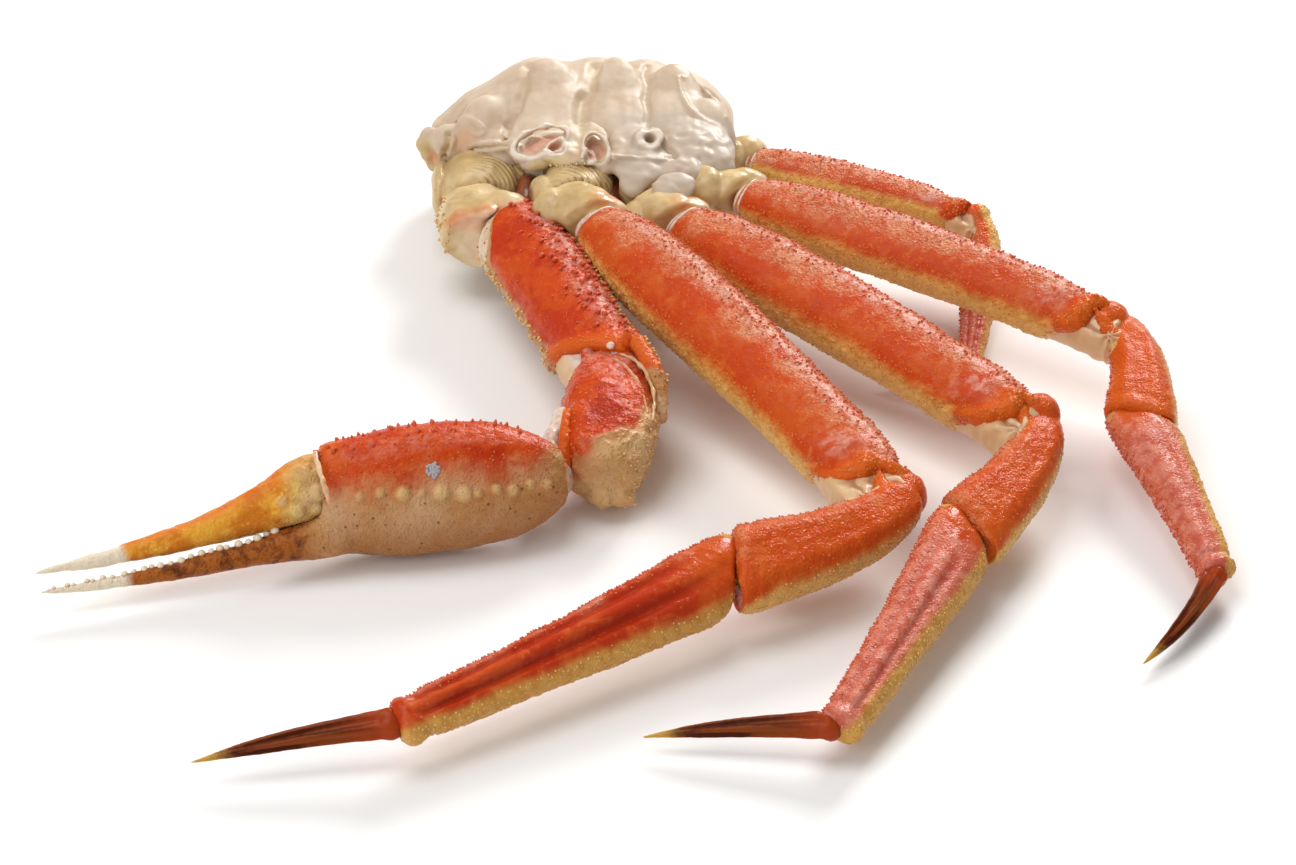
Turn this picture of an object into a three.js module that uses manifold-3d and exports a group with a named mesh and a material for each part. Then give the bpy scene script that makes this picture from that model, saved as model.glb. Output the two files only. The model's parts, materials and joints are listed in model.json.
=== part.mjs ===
// A cooked snow crab cluster: half of the body, called the shoulder, with one claw arm and
// four walking legs, lying on a table. Millimetres, +Z up, the table top is z = 0.
//
// Every limb is a chain of shell segments. A segment's own frame has +X along it, away from
// the body, +Y towards the outer side of the limb's bend and +Z out of its upper broad face.

import * as THREE from 'three';
import { ConvexGeometry } from 'three/addons/geometries/ConvexGeometry.js';
import { mergeVertices } from 'three/addons/utils/BufferGeometryUtils.js';
import Module from 'manifold-3d';

const wasm = await Module();
wasm.setup();

// ---------------------------------------------------------------- driving dimensions

const GAP = 0.3;              // clear space between neighbouring pieces

// The shoulder, a row of meat chambers side by side, cut off along the body's middle.
const SHOULDER = {
  middle: [-17, 135],
  length: 78,                 // along the row of chambers
  depth: 44,                  // from the leg sockets to the cut
  height: 39,
  chambers: [0.2, 0.26, 0.17, 0.19, 0.18],   // shares of the length
  groove: 0.12,               // depth of the grooves, as a share of the half section
  foot: 1.2,                  // the height taken off where it rests
  clawEnd: { reach: 0.35, taper: 0.26, drop: 2.5 },   // it is smaller and lower at this end
  rings: 22,
  sides: 14,
};

// The segments of each limb, body outwards: length, heading (degrees from +X, seen from
// above), pitch (degrees, up is positive), roll (degrees about the segment), width, thickness.
// from is where a segment starts, measured from the middle of the last one's end: along it,
// to its outer side and up from its broad face. The merus starts at the hip. The ischium ends
// there and the coxa ends where the ischium starts, each past it by the millimetres that past
// gives. bow is how far the middle of a segment is bent out to its outer side.
const LIMBS = {
  claw: {
    hip: [-35.8, 85, 19],
    coxa: { past: [2, 1, 0], length: 28, heading: -92, pitch: 6, roll: 6, width: 22.5,
      thickness: 19 },
    ischium: { past: [-4.5, -4, -1], length: 20, heading: -80, pitch: 2, roll: 6, width: 21.5,
      thickness: 18 },
    merus: { length: 60, heading: -66, pitch: -3.5, roll: 22, width: 22, thickness: 18 },
    carpus: { from: [3, 2, -1], length: 43.5, heading: -93, pitch: -4, roll: -8, width: 21.5,
      thickness: 20.5 },
    palm: { from: [3, -8.2, 1.8], length: 56, heading: -171, pitch: 0, roll: -58, width: 30.5,
      thickness: 20 },
    fixedFinger: { from: [-8, 7.5, 1.5], length: 72, heading: -163.5, pitch: -2.5, roll: -58,
      width: 12.5, thickness: 11 },
    finger: { from: [0, -3, 1], length: 66, heading: -160, pitch: -7.5, roll: -58, width: 16.8,
      thickness: 12 },
  },
  leg1: {
    hip: [-12.8, 75, 27.2],
    coxa: { past: [2, 1, 0], length: 28, heading: -90, pitch: 12, roll: 8, width: 17,
      thickness: 14.5 },
    ischium: { past: [0, 0, 0], length: 15, heading: -60, pitch: 4, roll: 12, width: 16,
      thickness: 14 },
    merus: { length: 114, heading: -57, pitch: -5, roll: 22, width: 21, thickness: 15 },
    carpus: { from: [16.5, 3, 0], length: 47, heading: -151, pitch: -3, roll: -24, width: 19.5,
      thickness: 13.5 },
    propodus: { from: [1.5, -0.5, 0], length: 85.5, heading: -145, pitch: -3, roll: -26,
      width: 18.6, thickness: 11.5 },
    dactyl: { from: [-1.5, 0, 0], length: 45.5, heading: -170, pitch: -6, roll: -26, width: 7,
      thickness: 5.4, bow: -1 },
  },
  leg2: {
    hip: [8, 79.5, 24],
    coxa: { past: [2, 1, 0], length: 26, heading: -86, pitch: 10, roll: 8, width: 16.5,
      thickness: 13.5 },
    ischium: { past: [0, 0, 0], length: 14, heading: -54, pitch: 3, roll: 10, width: 15,
      thickness: 13 },
    merus: { length: 106, heading: -46, pitch: -3, roll: 20, width: 19.7, thickness: 14.5 },
    carpus: { from: [10.5, 5, -2.5], length: 43, heading: -120, pitch: -6, roll: -18,
      width: 18, thickness: 13 },
    propodus: { from: [1.5, -0.5, 0], length: 72, heading: -115, pitch: -3.5, roll: -22,
      width: 17.2, thickness: 11 },
    dactyl: { from: [-1, 0, 0], length: 42, heading: 177, pitch: -6.5, roll: -22, width: 6.8,
      thickness: 5.2, bow: -1 },
  },
  leg3: {
    hip: [23.5, 94.5, 23.5],
    coxa: { past: [1, 1, 0], length: 17, heading: -60, pitch: 8, roll: 6, width: 13.5,
      thickness: 12 },
    ischium: { past: [0, 0, 0], length: 11, heading: -36, pitch: 2, roll: 10, width: 13,
      thickness: 11.5 },
    merus: { length: 96, heading: -33, pitch: -2, roll: 20, width: 17.4, thickness: 12.5 },
    carpus: { from: [8, 4.5, -3.5], length: 35.5, heading: -89, pitch: -8, roll: 6, width: 16,
      thickness: 11.5 },
    propodus: { from: [0.5, -0.5, 0], length: 53, heading: -76.5, pitch: -7, roll: 8, width: 15.5,
      thickness: 10 },
    dactyl: { from: [-1, 0.5, 0], length: 36.5, heading: -123, pitch: -6.5, roll: 8, width: 6,
      thickness: 4.8, bow: 1.8 },
  },
  leg4: {
    hip: [25, 116.5, 21],
    coxa: { past: [0.5, 0.5, 0], length: 11, heading: -46, pitch: 2, roll: 6, width: 10,
      thickness: 9.5 },
    ischium: { past: [0, 0, 0], length: 7, heading: -26, pitch: 0, roll: 8, width: 9,
      thickness: 8 },
    merus: { length: 58.5, heading: -21, pitch: -3.5, roll: 18, width: 11.6, thickness: 8.5 },
    carpus: { from: [4, 1, -1], length: 22, heading: -97, pitch: -24, roll: -4, width: 9.6,
      thickness: 8 },
    propodus: { from: [0, 0, 0], length: 33, heading: -98, pitch: -6, roll: -4, width: 9.4,
      thickness: 6.4 },
    dactyl: { from: [-0.5, 0, 0], length: 22, heading: 180, pitch: -7, roll: -4, width: 4.4,
      thickness: 3.6, bow: -0.6 },
  },
};

// The outline of each kind of segment, in rows from its near end to its far end: share of the
// length, share of the width, share of the thickness, and how far the middle lies to the outer
// side, as a share of the width. lean is how far each end slants forwards on the outer side,
// in degrees, and square is 2 for an elliptical section and more for a squarer one.
const KINDS = {
  coxa: { rings: 5, sides: 10, square: 2.2, lean: [0, 0], rows: [[0, 0.7, 0.7, 0],
    [0.3, 0.96, 0.96, 0], [0.7, 1.02, 1.02, 0], [0.9, 0.92, 0.94, 0], [1, 0.78, 0.8, 0]] },
  ischium: { rings: 5, sides: 10, square: 2.2, lean: [0, 20], rows: [[0, 0.7, 0.7, 0],
    [0.2, 0.92, 0.94, 0], [0.6, 1.02, 1.02, 0], [0.9, 0.98, 1, 0], [1, 0.86, 0.88, 0]] },
  merus: { rings: 10, sides: 14, square: 2.5, lean: [8, 40], rows: [[0, 0.56, 0.6, 0],
    [0.04, 0.7, 0.74, 0], [0.12, 0.92, 0.9, 0.01], [0.3, 1.05, 0.98, 0.03], [0.55, 1, 1, 0.03],
    [0.75, 0.94, 1, 0.01], [0.9, 0.93, 1.02, -0.02], [0.96, 0.98, 1.06, -0.02],
    [1, 0.84, 0.92, -0.02]] },
  carpus: { rings: 8, sides: 14, square: 2.4, lean: [-8, 24], rows: [[0, 0.4, 0.5, -0.12],
    [0.08, 0.62, 0.84, -0.08], [0.25, 0.74, 0.96, 0.05], [0.5, 0.86, 1, 0.08],
    [0.8, 1.02, 1.02, 0.03], [0.94, 1.07, 1.02, 0], [1, 0.97, 0.88, 0]] },
  propodus: { rings: 10, sides: 14, square: 2.3, lean: [26, 6], rows: [[0, 0.82, 0.82, 0],
    [0.05, 1, 0.96, 0], [0.12, 1.02, 1, 0.01], [0.3, 0.88, 0.95, 0.03], [0.6, 0.72, 0.82, 0.03],
    [0.88, 0.62, 0.7, 0.02], [0.96, 0.6, 0.7, 0], [1, 0.5, 0.56, 0]] },
  dactyl: { rings: 8, sides: 8, square: 2.2, lean: [0, 0], rows: [[0, 0.76, 0.8, 0],
    [0.08, 1, 1, 0], [0.3, 0.82, 0.84, 0], [0.6, 0.62, 0.62, 0],
    [0.85, 0.32, 0.34, 0], [1, 0.05, 0.06, 0]] },
  clawMerus: { rings: 9, sides: 14, square: 2.4, lean: [-22, 36], rows: [[0, 0.8, 0.76, 0],
    [0.08, 0.92, 0.88, 0.03], [0.3, 1.01, 0.98, 0.08], [0.55, 1.01, 1, 0.07],
    [0.8, 0.95, 1.02, 0.02], [0.94, 0.99, 1.08, 0], [1, 0.88, 0.94, 0]] },
  clawCarpus: { rings: 9, sides: 14, square: 2.6, lean: [6, 0], rows: [[0, 0.56, 0.56, 0.04],
    [0.1, 0.86, 0.84, 0.04], [0.35, 1.03, 1, 0.02], [0.65, 1.04, 1.02, 0],
    [0.88, 0.92, 0.9, 0], [1, 0.62, 0.6, 0]] },
  palm: { rings: 9, sides: 14, square: 2.2, lean: [0, 0], rows: [[0, 0.36, 0.44, 0],
    [0.06, 0.58, 0.62, 0], [0.22, 0.88, 0.86, 0], [0.5, 1, 1, -0.01], [0.75, 0.96, 0.98, 0.01],
    [0.92, 0.86, 0.82, 0], [1, 0.76, 0.66, 0]] },
  fixedFinger: { rings: 8, sides: 10, square: 2.2, lean: [0, 0], rows: [[0, 0.84, 0.9, 0],
    [0.12, 0.86, 1, 0.02], [0.22, 0.58, 0.74, 0.05], [0.45, 0.4, 0.5, 0.09],
    [0.7, 0.28, 0.34, 0.1], [0.9, 0.17, 0.2, 0.06], [1, 0.05, 0.07, 0]] },
  finger: { rings: 9, sides: 12, square: 2.2, lean: [8, 0], rows: [[0, 0.78, 0.8, 0.02],
    [0.05, 0.94, 0.98, 0.03], [0.13, 0.78, 0.9, 0.05], [0.3, 0.52, 0.68, 0.12],
    [0.5, 0.36, 0.5, 0.14], [0.7, 0.26, 0.36, 0.11], [0.88, 0.15, 0.22, 0.05],
    [1, 0.04, 0.06, 0]] },
};

// The soft skin of a knee: how far it reaches along the carpus and how much narrower it is than
// the shell, as shares of them, and how many sides it has.
const SKIN_REACH = 0.32;
const SKIN_DRAWN_IN = 0.84;
const SKIN_SIDES = 8;

const COLOURS = {
  meat: 0xf0e6d8, cream: 0xe4d4ac, orange: 0xd85a2c, pink: 0xc8523c, brown: 0x4a2612,
  skin: 0xe6cfba, ochre: 0xc98f4a,
};

// ------------------------------------------------------------------- lofted solids

const rad = THREE.MathUtils.degToRad;
const steps = (n) => Array.from({ length: n + 1 }, (_, i) => i / n);
const signedPower = (v, p) => Math.sign(v) * Math.abs(v) ** p;

// The values at t of a smooth curve through rows of [t, value, value, ...].
function along(rows, t) {
  let i = 0;
  while (i < rows.length - 2 && t > rows[i + 1][0]) i += 1;
  const [from, to] = [rows[i], rows[i + 1]];
  const before = rows[Math.max(i - 1, 0)];
  const after = rows[Math.min(i + 2, rows.length - 1)];
  const span = to[0] - from[0];
  const u = (t - from[0]) / span;
  return from.slice(1).map((start, k) => {
    const end = to[k + 1];
    const slopeIn = (end - before[k + 1]) / (to[0] - before[0]) * span;
    const slopeOut = (after[k + 1] - start) / (after[0] - from[0]) * span;
    return (2 * u ** 3 - 3 * u ** 2 + 1) * start + (u ** 3 - 2 * u ** 2 + u) * slopeIn
      + (3 * u ** 2 - 2 * u ** 3) * end + (u ** 3 - u ** 2) * slopeOut;
  });
}

// A closed solid swept along +X through rounded sections. section(t) gives, for t from 0 to 1,
// { x, y, z, halfY, halfZ, square, lean }: where the section's middle is, its half sizes, how
// square it is and how far it leans forward for each millimetre of Y. grow makes it larger.
function loft(section, ringPlaces, sides, grow) {
  const positions = [];
  const last = ringPlaces.length - 1;
  const poles = [];
  ringPlaces.forEach((t, i) => {
    const s = section(t);
    const past = i === 0 ? -grow : i === last ? grow : 0;
    for (let j = 0; j < sides; j += 1) {
      const angle = (j / sides) * 2 * Math.PI;
      const y = (s.halfY + grow) * signedPower(Math.cos(angle), 2 / s.square);
      const z = (s.halfZ + grow) * signedPower(Math.sin(angle), 2 / s.square);
      positions.push(s.x + past + s.lean * y, s.y + y, s.z + z);
    }
    if (i === 0 || i === last) poles.push(s.x + past, s.y, s.z);
  });
  positions.push(...poles);
  const index = [];
  const firstPole = ringPlaces.length * sides;
  for (let j = 0; j < sides; j += 1) {
    const next = (j + 1) % sides;
    for (let i = 0; i < last; i += 1) {
      const [a, b] = [i * sides + j, i * sides + next];
      index.push(a, b, a + sides, b, b + sides, a + sides);
    }
    index.push(firstPole, next, j, firstPole + 1, last * sides + j, last * sides + next);
  }
  const geometry = new THREE.BufferGeometry();
  geometry.setAttribute('position', new THREE.Float32BufferAttribute(positions, 3));
  geometry.setIndex(index);
  return geometry;
}

// The section of a segment at t, in its own frame.
function sectionOf(kind, size) {
  const { rows, square, lean } = KINDS[kind];
  const [near, far] = lean.map((degrees) => Math.tan(rad(degrees)));
  return (t) => {
    const [wide, thick, aside] = along(rows, t);
    return {
      x: t * size.length,
      y: aside * size.width + (size.bow ?? 0) * 4 * t * (1 - t),
      z: 0,
      halfY: wide * size.width / 2,
      halfZ: thick * size.thickness / 2,
      square,
      lean: near * Math.max(0, 1 - 4 * t) + far * Math.max(0, 4 * t - 3),
    };
  };
}

// A segment's solid. Its rings stand closer together near the ends, where the outline turns in.
function segment(kind, size, grow) {
  const { rings, sides } = KINDS[kind];
  const places = steps(rings).map((t) => t - 0.1 * Math.sin(2 * Math.PI * t));
  return loft(sectionOf(kind, size), places, sides, grow);
}

// ------------------------------------------------------------- cutting and placing pieces

function toManifold(geometry, matrix = new THREE.Matrix4()) {
  const bare = geometry.clone().applyMatrix4(matrix);
  bare.deleteAttribute('normal');
  bare.deleteAttribute('uv');
  const merged = mergeVertices(bare, 1e-4);
  return new wasm.Manifold(new wasm.Mesh({
    numProp: 3,
    vertProperties: Float32Array.from(merged.attributes.position.array),
    triVerts: Uint32Array.from(merged.index.array),
  }));
}

function fromManifold(solid) {
  const { vertProperties, triVerts } = solid.getMesh();
  const geometry = new THREE.BufferGeometry();
  geometry.setAttribute('position', new THREE.Float32BufferAttribute(vertProperties, 3));
  geometry.setIndex(Array.from(triVerts));
  return geometry;
}

// The frame of a segment that starts at a point.
function frameAt(start, { heading, pitch, roll }) {
  const turn = new THREE.Euler(rad(roll), rad(-pitch), rad(heading), 'ZYX');
  return new THREE.Matrix4().compose(new THREE.Vector3(...start),
    new THREE.Quaternion().setFromEuler(turn), new THREE.Vector3(1, 1, 1));
}

const pointIn = (frame, [x, y, z]) => new THREE.Vector3(x, y, z).applyMatrix4(frame);

// A solid in its own frame. shapes(grow) gives the geometries that it is joined from.
class Piece {
  constructor(name, colour, frame, shapes) {
    Object.assign(this, { name, colour, frame, shapes });
    this.solid = this.grown(0);
  }

  grown(grow, matrix) {
    return this.shapes(grow).map((shape) => toManifold(shape, matrix))
      .reduce((joined, shape) => joined.add(shape));
  }

  // Takes other pieces away, each with the gap around it, and keeps the largest part.
  cut(...others) {
    const home = this.frame.clone().invert();
    others.forEach((other) => {
      const path = home.clone().multiply(other.frame);
      this.solid = this.solid.subtract(other.grown(GAP, path));
    });
    [this.solid] = this.solid.decompose().sort((a, b) => b.volume() - a.volume());
    return this;
  }

  mesh() {
    const material = new THREE.MeshStandardMaterial({ color: COLOURS[this.colour],
      roughness: 0.4, metalness: 0 });
    const mesh = new THREE.Mesh(fromManifold(this.solid), material);
    mesh.name = this.name;
    this.frame.decompose(mesh.position, mesh.quaternion, mesh.scale);
    return mesh;
  }
}

const pieces = [];
function add(...description) {
  pieces.push(new Piece(...description));
  return pieces.at(-1);
}

// One segment of a limb. after is the segment nearer the body, which it starts from.
function addSegment(limb, part, kind, colour, size, after) {
  const start = after.end ? pointIn(after.frame, size.from.map((v, i) => v + after.end[i]))
    : after.start;
  const piece = add(`${limb}_${part}`, colour, frameAt(start, size),
    (grow) => [segment(kind, size, grow)]);
  return Object.assign(piece, { kind, size, end: [size.length, 0, 0] });
}

// The two short segments that join a merus to the shoulder, each hollowed by the next one.
function addHip(limb, sizes, merus) {
  let end = new THREE.Vector3(...sizes.hip);
  const outer = [merus];
  ['ischium', 'coxa'].forEach((part) => {
    const size = sizes[part];
    const reach = new THREE.Vector3(size.length, 0, 0).applyMatrix4(frameAt([0, 0, 0], size));
    const start = end.clone().add(new THREE.Vector3(...size.past)).sub(reach);
    const piece = addSegment(limb, part, part, 'cream', size, { start }).cut(...outer);
    outer.push(piece);
    end = start;
  });
}

// Points on a segment's ring at t, drawn in by a share, in another frame.
function ringPoints(piece, t, share, matrix) {
  const s = sectionOf(piece.kind, piece.size)(t);
  return steps(SKIN_SIDES).slice(1).map((turn) => {
    const y = share * s.halfY * signedPower(Math.cos(2 * Math.PI * turn), 2 / s.square);
    const z = share * s.halfZ * signedPower(Math.sin(2 * Math.PI * turn), 2 / s.square);
    return pointIn(matrix, [s.x + s.lean * y, s.y + y, z]);
  });
}

// The soft skin of a joint: it spans from the far end of one segment to the next one's side.
function addSkin(limb, near, far) {
  const name = `${limb}_knee`;
  const toNear = near.frame.clone().invert().multiply(far.frame);
  const points = [...ringPoints(near, 1, SKIN_DRAWN_IN, new THREE.Matrix4()),
    ...steps(2).flatMap((u) => ringPoints(far, u * SKIN_REACH, SKIN_DRAWN_IN, toNear))];
  return add(name, 'skin', near.frame, () => [new ConvexGeometry(points)]).cut(near, far);
}

// ------------------------------------------------------------------------- the limbs

function addLeg(limb) {
  const sizes = LIMBS[limb];
  const merus = addSegment(limb, 'merus', 'merus', 'orange', sizes.merus,
    { start: new THREE.Vector3(...sizes.hip) });
  addHip(limb, sizes, merus);
  const carpus = addSegment(limb, 'carpus', 'carpus', 'orange', sizes.carpus, merus);
  const propodus = addSegment(limb, 'propodus', 'propodus', 'pink', sizes.propodus, carpus);
  const dactyl = addSegment(limb, 'dactyl', 'dactyl', 'brown', sizes.dactyl, propodus);
  carpus.cut(merus);
  propodus.cut(carpus);
  dactyl.cut(propodus);
  addSkin(limb, merus, carpus);
}

function addClawArm() {
  const sizes = LIMBS.claw;
  const merus = addSegment('claw', 'merus', 'clawMerus', 'orange', sizes.merus,
    { start: new THREE.Vector3(...sizes.hip) });
  addHip('claw', sizes, merus);
  const carpus = addSegment('claw', 'carpus', 'clawCarpus', 'orange', sizes.carpus, merus);
  const palm = addSegment('claw', 'palm', 'palm', 'orange', sizes.palm, carpus);
  // The fixed finger is one piece with the palm, in the palm's own frame.
  const root = pointIn(palm.frame, sizes.fixedFinger.from.map((v, i) => v + palm.end[i]));
  const toPalm = palm.frame.clone().invert().multiply(frameAt(root, sizes.fixedFinger));
  const palmShape = palm.shapes;
  palm.shapes = (grow) => [...palmShape(grow),
    segment('fixedFinger', sizes.fixedFinger, grow).applyMatrix4(toPalm)];
  palm.solid = palm.grown(0);
  const finger = addSegment('claw', 'finger', 'finger', 'ochre', sizes.finger, palm);
  carpus.cut(merus);
  palm.cut(carpus);
  finger.cut(palm);
  addSkin('claw', merus, carpus);
}

// ------------------------------------------------------------------------ the shoulder

// How full the row of chambers is at t: 1 in the middle of a chamber, less in the grooves.
function fullness(t) {
  let from = 0;
  for (const share of SHOULDER.chambers) {
    if (t <= from + share) {
      const swell = Math.abs(Math.sin(Math.PI * (t - from) / share)) ** 0.6;
      return 1 - SHOULDER.groove * (1 - swell);
    }
    from += share;
  }
  return 1 - SHOULDER.groove;
}

function shoulderShape(grow) {
  const { length, depth, height, foot, clawEnd } = SHOULDER;
  const section = (t) => {
    const taper = 1 - THREE.MathUtils.smoothstep(t, 0, clawEnd.reach);
    const size = (1 - clawEnd.taper * taper) * fullness(t)
      * Math.max(0.42, (1 - Math.abs(2 * t - 1) ** 3) ** 0.45);
    return { x: (t - 0.5) * length, y: 0, z: -clawEnd.drop * taper, halfY: size * depth / 2,
      halfZ: size * height / 2, square: 2.4, lean: 0 };
  };
  const shape = loft(section, steps(SHOULDER.rings), SHOULDER.sides, grow);
  const { position } = shape.attributes;
  for (let i = 0; i < position.count; i += 1) {
    position.setZ(i, Math.max(position.getZ(i), foot - height / 2 - grow));
  }
  return shape;
}

function addShoulder() {
  const start = [...SHOULDER.middle, SHOULDER.height / 2 - SHOULDER.foot];
  const frame = frameAt(start, { heading: 0, pitch: 0, roll: 0 });
  return add('shoulder', 'meat', frame, (grow) => [shoulderShape(grow)]);
}

// --------------------------------------------------------------------- the whole cluster

addClawArm();
['leg1', 'leg2', 'leg3', 'leg4'].forEach(addLeg);
const hips = pieces.filter(({ name }) => /_(coxa|ischium)$/.test(name));
addShoulder().cut(...hips);

// Neighbouring limbs press together beside the body, where the second of each pair gives way.
[
  ['claw_merus', 'leg1_merus'],
  ['claw_merus', 'leg1_ischium'],
  ['leg2_coxa', 'leg3_coxa'],
].map((pair) => pair.map((wanted) => pieces.find(({ name }) => name === wanted)))
  .forEach(([firm, soft]) => soft.cut(firm));

// The origin is under the middle of the whole, on the table.
const lying = new THREE.Group();
pieces.forEach((piece) => lying.add(piece.mesh()));
const box = new THREE.Box3().setFromObject(lying, true);
lying.position.set(-(box.min.x + box.max.x) / 2, -(box.min.y + box.max.y) / 2, -box.min.z);

const cluster = new THREE.Group();
cluster.add(lying);
export default cluster;
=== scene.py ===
# %% [markdown]
# # A cooked snow crab cluster
#
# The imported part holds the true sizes: a white shoulder, a claw arm and four walking legs, each
# a chain of plain solids. In these cells each solid is turned into what it stands for, such as a
# glossy shell with a pale belly, a creased joint skin or a lobe of white meat. Everything is in
# metres, in the frame of the part, so nothing has to be fitted by eye.

import json
import math

import bpy
import numpy as np
from mathutils import Matrix, Vector, noise

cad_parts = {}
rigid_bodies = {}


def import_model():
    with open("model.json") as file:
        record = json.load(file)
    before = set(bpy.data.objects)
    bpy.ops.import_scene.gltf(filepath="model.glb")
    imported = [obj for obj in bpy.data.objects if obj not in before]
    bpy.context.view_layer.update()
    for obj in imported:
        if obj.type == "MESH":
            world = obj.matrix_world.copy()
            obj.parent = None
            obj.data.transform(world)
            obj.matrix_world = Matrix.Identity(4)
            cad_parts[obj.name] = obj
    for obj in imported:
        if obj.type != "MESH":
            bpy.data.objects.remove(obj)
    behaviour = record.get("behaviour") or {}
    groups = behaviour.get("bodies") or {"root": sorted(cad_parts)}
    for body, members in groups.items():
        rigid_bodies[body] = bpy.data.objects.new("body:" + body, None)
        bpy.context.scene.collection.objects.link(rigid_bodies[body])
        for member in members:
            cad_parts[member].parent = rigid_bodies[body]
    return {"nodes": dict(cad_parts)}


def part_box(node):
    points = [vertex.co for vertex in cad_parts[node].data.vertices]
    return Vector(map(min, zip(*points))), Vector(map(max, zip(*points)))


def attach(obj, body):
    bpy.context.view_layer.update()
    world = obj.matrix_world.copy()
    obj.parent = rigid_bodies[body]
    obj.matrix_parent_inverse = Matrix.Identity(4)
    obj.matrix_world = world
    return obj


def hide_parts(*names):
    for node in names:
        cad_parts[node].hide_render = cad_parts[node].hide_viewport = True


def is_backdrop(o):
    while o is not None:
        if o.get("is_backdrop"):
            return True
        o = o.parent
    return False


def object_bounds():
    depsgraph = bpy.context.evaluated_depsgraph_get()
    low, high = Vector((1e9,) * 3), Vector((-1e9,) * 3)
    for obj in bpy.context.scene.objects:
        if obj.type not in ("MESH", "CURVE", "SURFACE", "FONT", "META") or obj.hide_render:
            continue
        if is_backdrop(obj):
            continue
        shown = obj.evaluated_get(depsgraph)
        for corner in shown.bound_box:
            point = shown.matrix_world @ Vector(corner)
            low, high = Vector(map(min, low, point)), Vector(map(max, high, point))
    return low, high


MM = 0.001
LEGS = ["leg1", "leg2", "leg3", "leg4"]
LIMBS = ["claw", *LEGS]

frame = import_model()
cad_low, cad_high = (Vector(corner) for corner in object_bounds())
print("nodes:", len(frame["nodes"]), "size:", [round(v, 4) for v in cad_high - cad_low])

# %% [markdown]
# ## Camera, floor and light
#
# The camera looks down at the table from the side where the leg tips are, from almost a metre
# away through a long lens, so the near legs look hardly larger than the far ones. Wet shell needs
# something bright to mirror, but a white room all round would wash out its colour. So the room is
# dim, and a bright soft window behind the legs draws pale streaks along their upper edges. A
# broad lamp above and a weak one in front light the rest.

# %% Camera
CAMERA_ELEVATION = math.radians(33)
CAMERA_DISTANCE = 0.95
LENS_MM = 115
look_at = (cad_low + cad_high) / 2 + Vector((2.7, -22.6, -3.7)) * MM

backwards = Vector((0, -math.cos(CAMERA_ELEVATION), math.sin(CAMERA_ELEVATION)))
lens = bpy.data.cameras.new("camera")
lens.lens = LENS_MM
lens.sensor_width = 36
camera = bpy.data.objects.new("camera", lens)
camera.location = look_at + CAMERA_DISTANCE * backwards
camera.rotation_euler = (math.pi / 2 - CAMERA_ELEVATION, 0, 0)
bpy.context.scene.collection.objects.link(camera)
bpy.context.scene.camera = camera
print("camera at", [round(v, 3) for v in camera.location])

# %% Floor and lights
def add_light(name, way, distance, size, watts):
    """A square soft lamp that hangs in the given direction and points at the crab."""
    light = bpy.data.lights.new(name, "AREA")
    light.size = size
    light.energy = watts
    lamp = bpy.data.objects.new(name, light)
    lamp.location = look_at + Vector(way).normalized() * distance
    lamp.rotation_euler = Vector(way).to_track_quat("Z", "Y").to_euler()
    bpy.context.scene.collection.objects.link(lamp)
    return lamp


add_light("window_light", (0.30, 0.80, 0.50), 1.2, 0.38, 11.5)
add_light("top_light", (-0.30, 0.05, 0.95), 1.2, 0.8, 7.0)
add_light("front_light", (-0.55, -0.60, 0.45), 1.3, 0.9, 5.0)

world = bpy.data.worlds.new("studio")
world.use_nodes = True
world.node_tree.nodes["Background"].inputs["Color"].default_value = (1, 0.99, 0.97, 1)
world.node_tree.nodes["Background"].inputs["Strength"].default_value = 0.36
bpy.context.scene.world = world
bpy.context.scene.view_settings.view_transform = "Standard"

bpy.ops.mesh.primitive_plane_add(size=8, location=(0, 0, 0))
floor = bpy.context.object
floor.name = "floor"
floor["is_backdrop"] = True

# %% [markdown]
# ## A short way to write shader maths
#
# Shader nodes are easier to read as sums than as a web of boxes. This small class wraps one
# output socket, so that `1 - mask * 0.5` adds the Math nodes it needs. Colours go through Mix
# nodes, because a Math node would turn them grey.

# %% Shader maths
class Value:
    """An output socket that can be used in sums."""

    def __init__(self, material, socket):
        self.material = material
        self.socket = socket

    def math(self, operation, *others):
        sockets = {i: other for i, other in enumerate((self, *others))}
        return self.material.node("ShaderNodeMath", {"operation": operation}, sockets)

    def __add__(self, other):
        return self.math("ADD", other)

    def __sub__(self, other):
        return self.math("SUBTRACT", other)

    def __mul__(self, other):
        return self.math("MULTIPLY", other)

    def __rsub__(self, other):
        return self.math("MULTIPLY_ADD", -1.0, other)

    __radd__ = __add__
    __rmul__ = __mul__

    def step(self, start, end):
        """0 before start, 1 after end and smooth between; start may be the larger."""
        sockets = {"Value": self, "From Min": start, "From Max": end}
        return self.material.node("ShaderNodeMapRange", {"interpolation_type": "SMOOTHSTEP"}, sockets)


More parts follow.
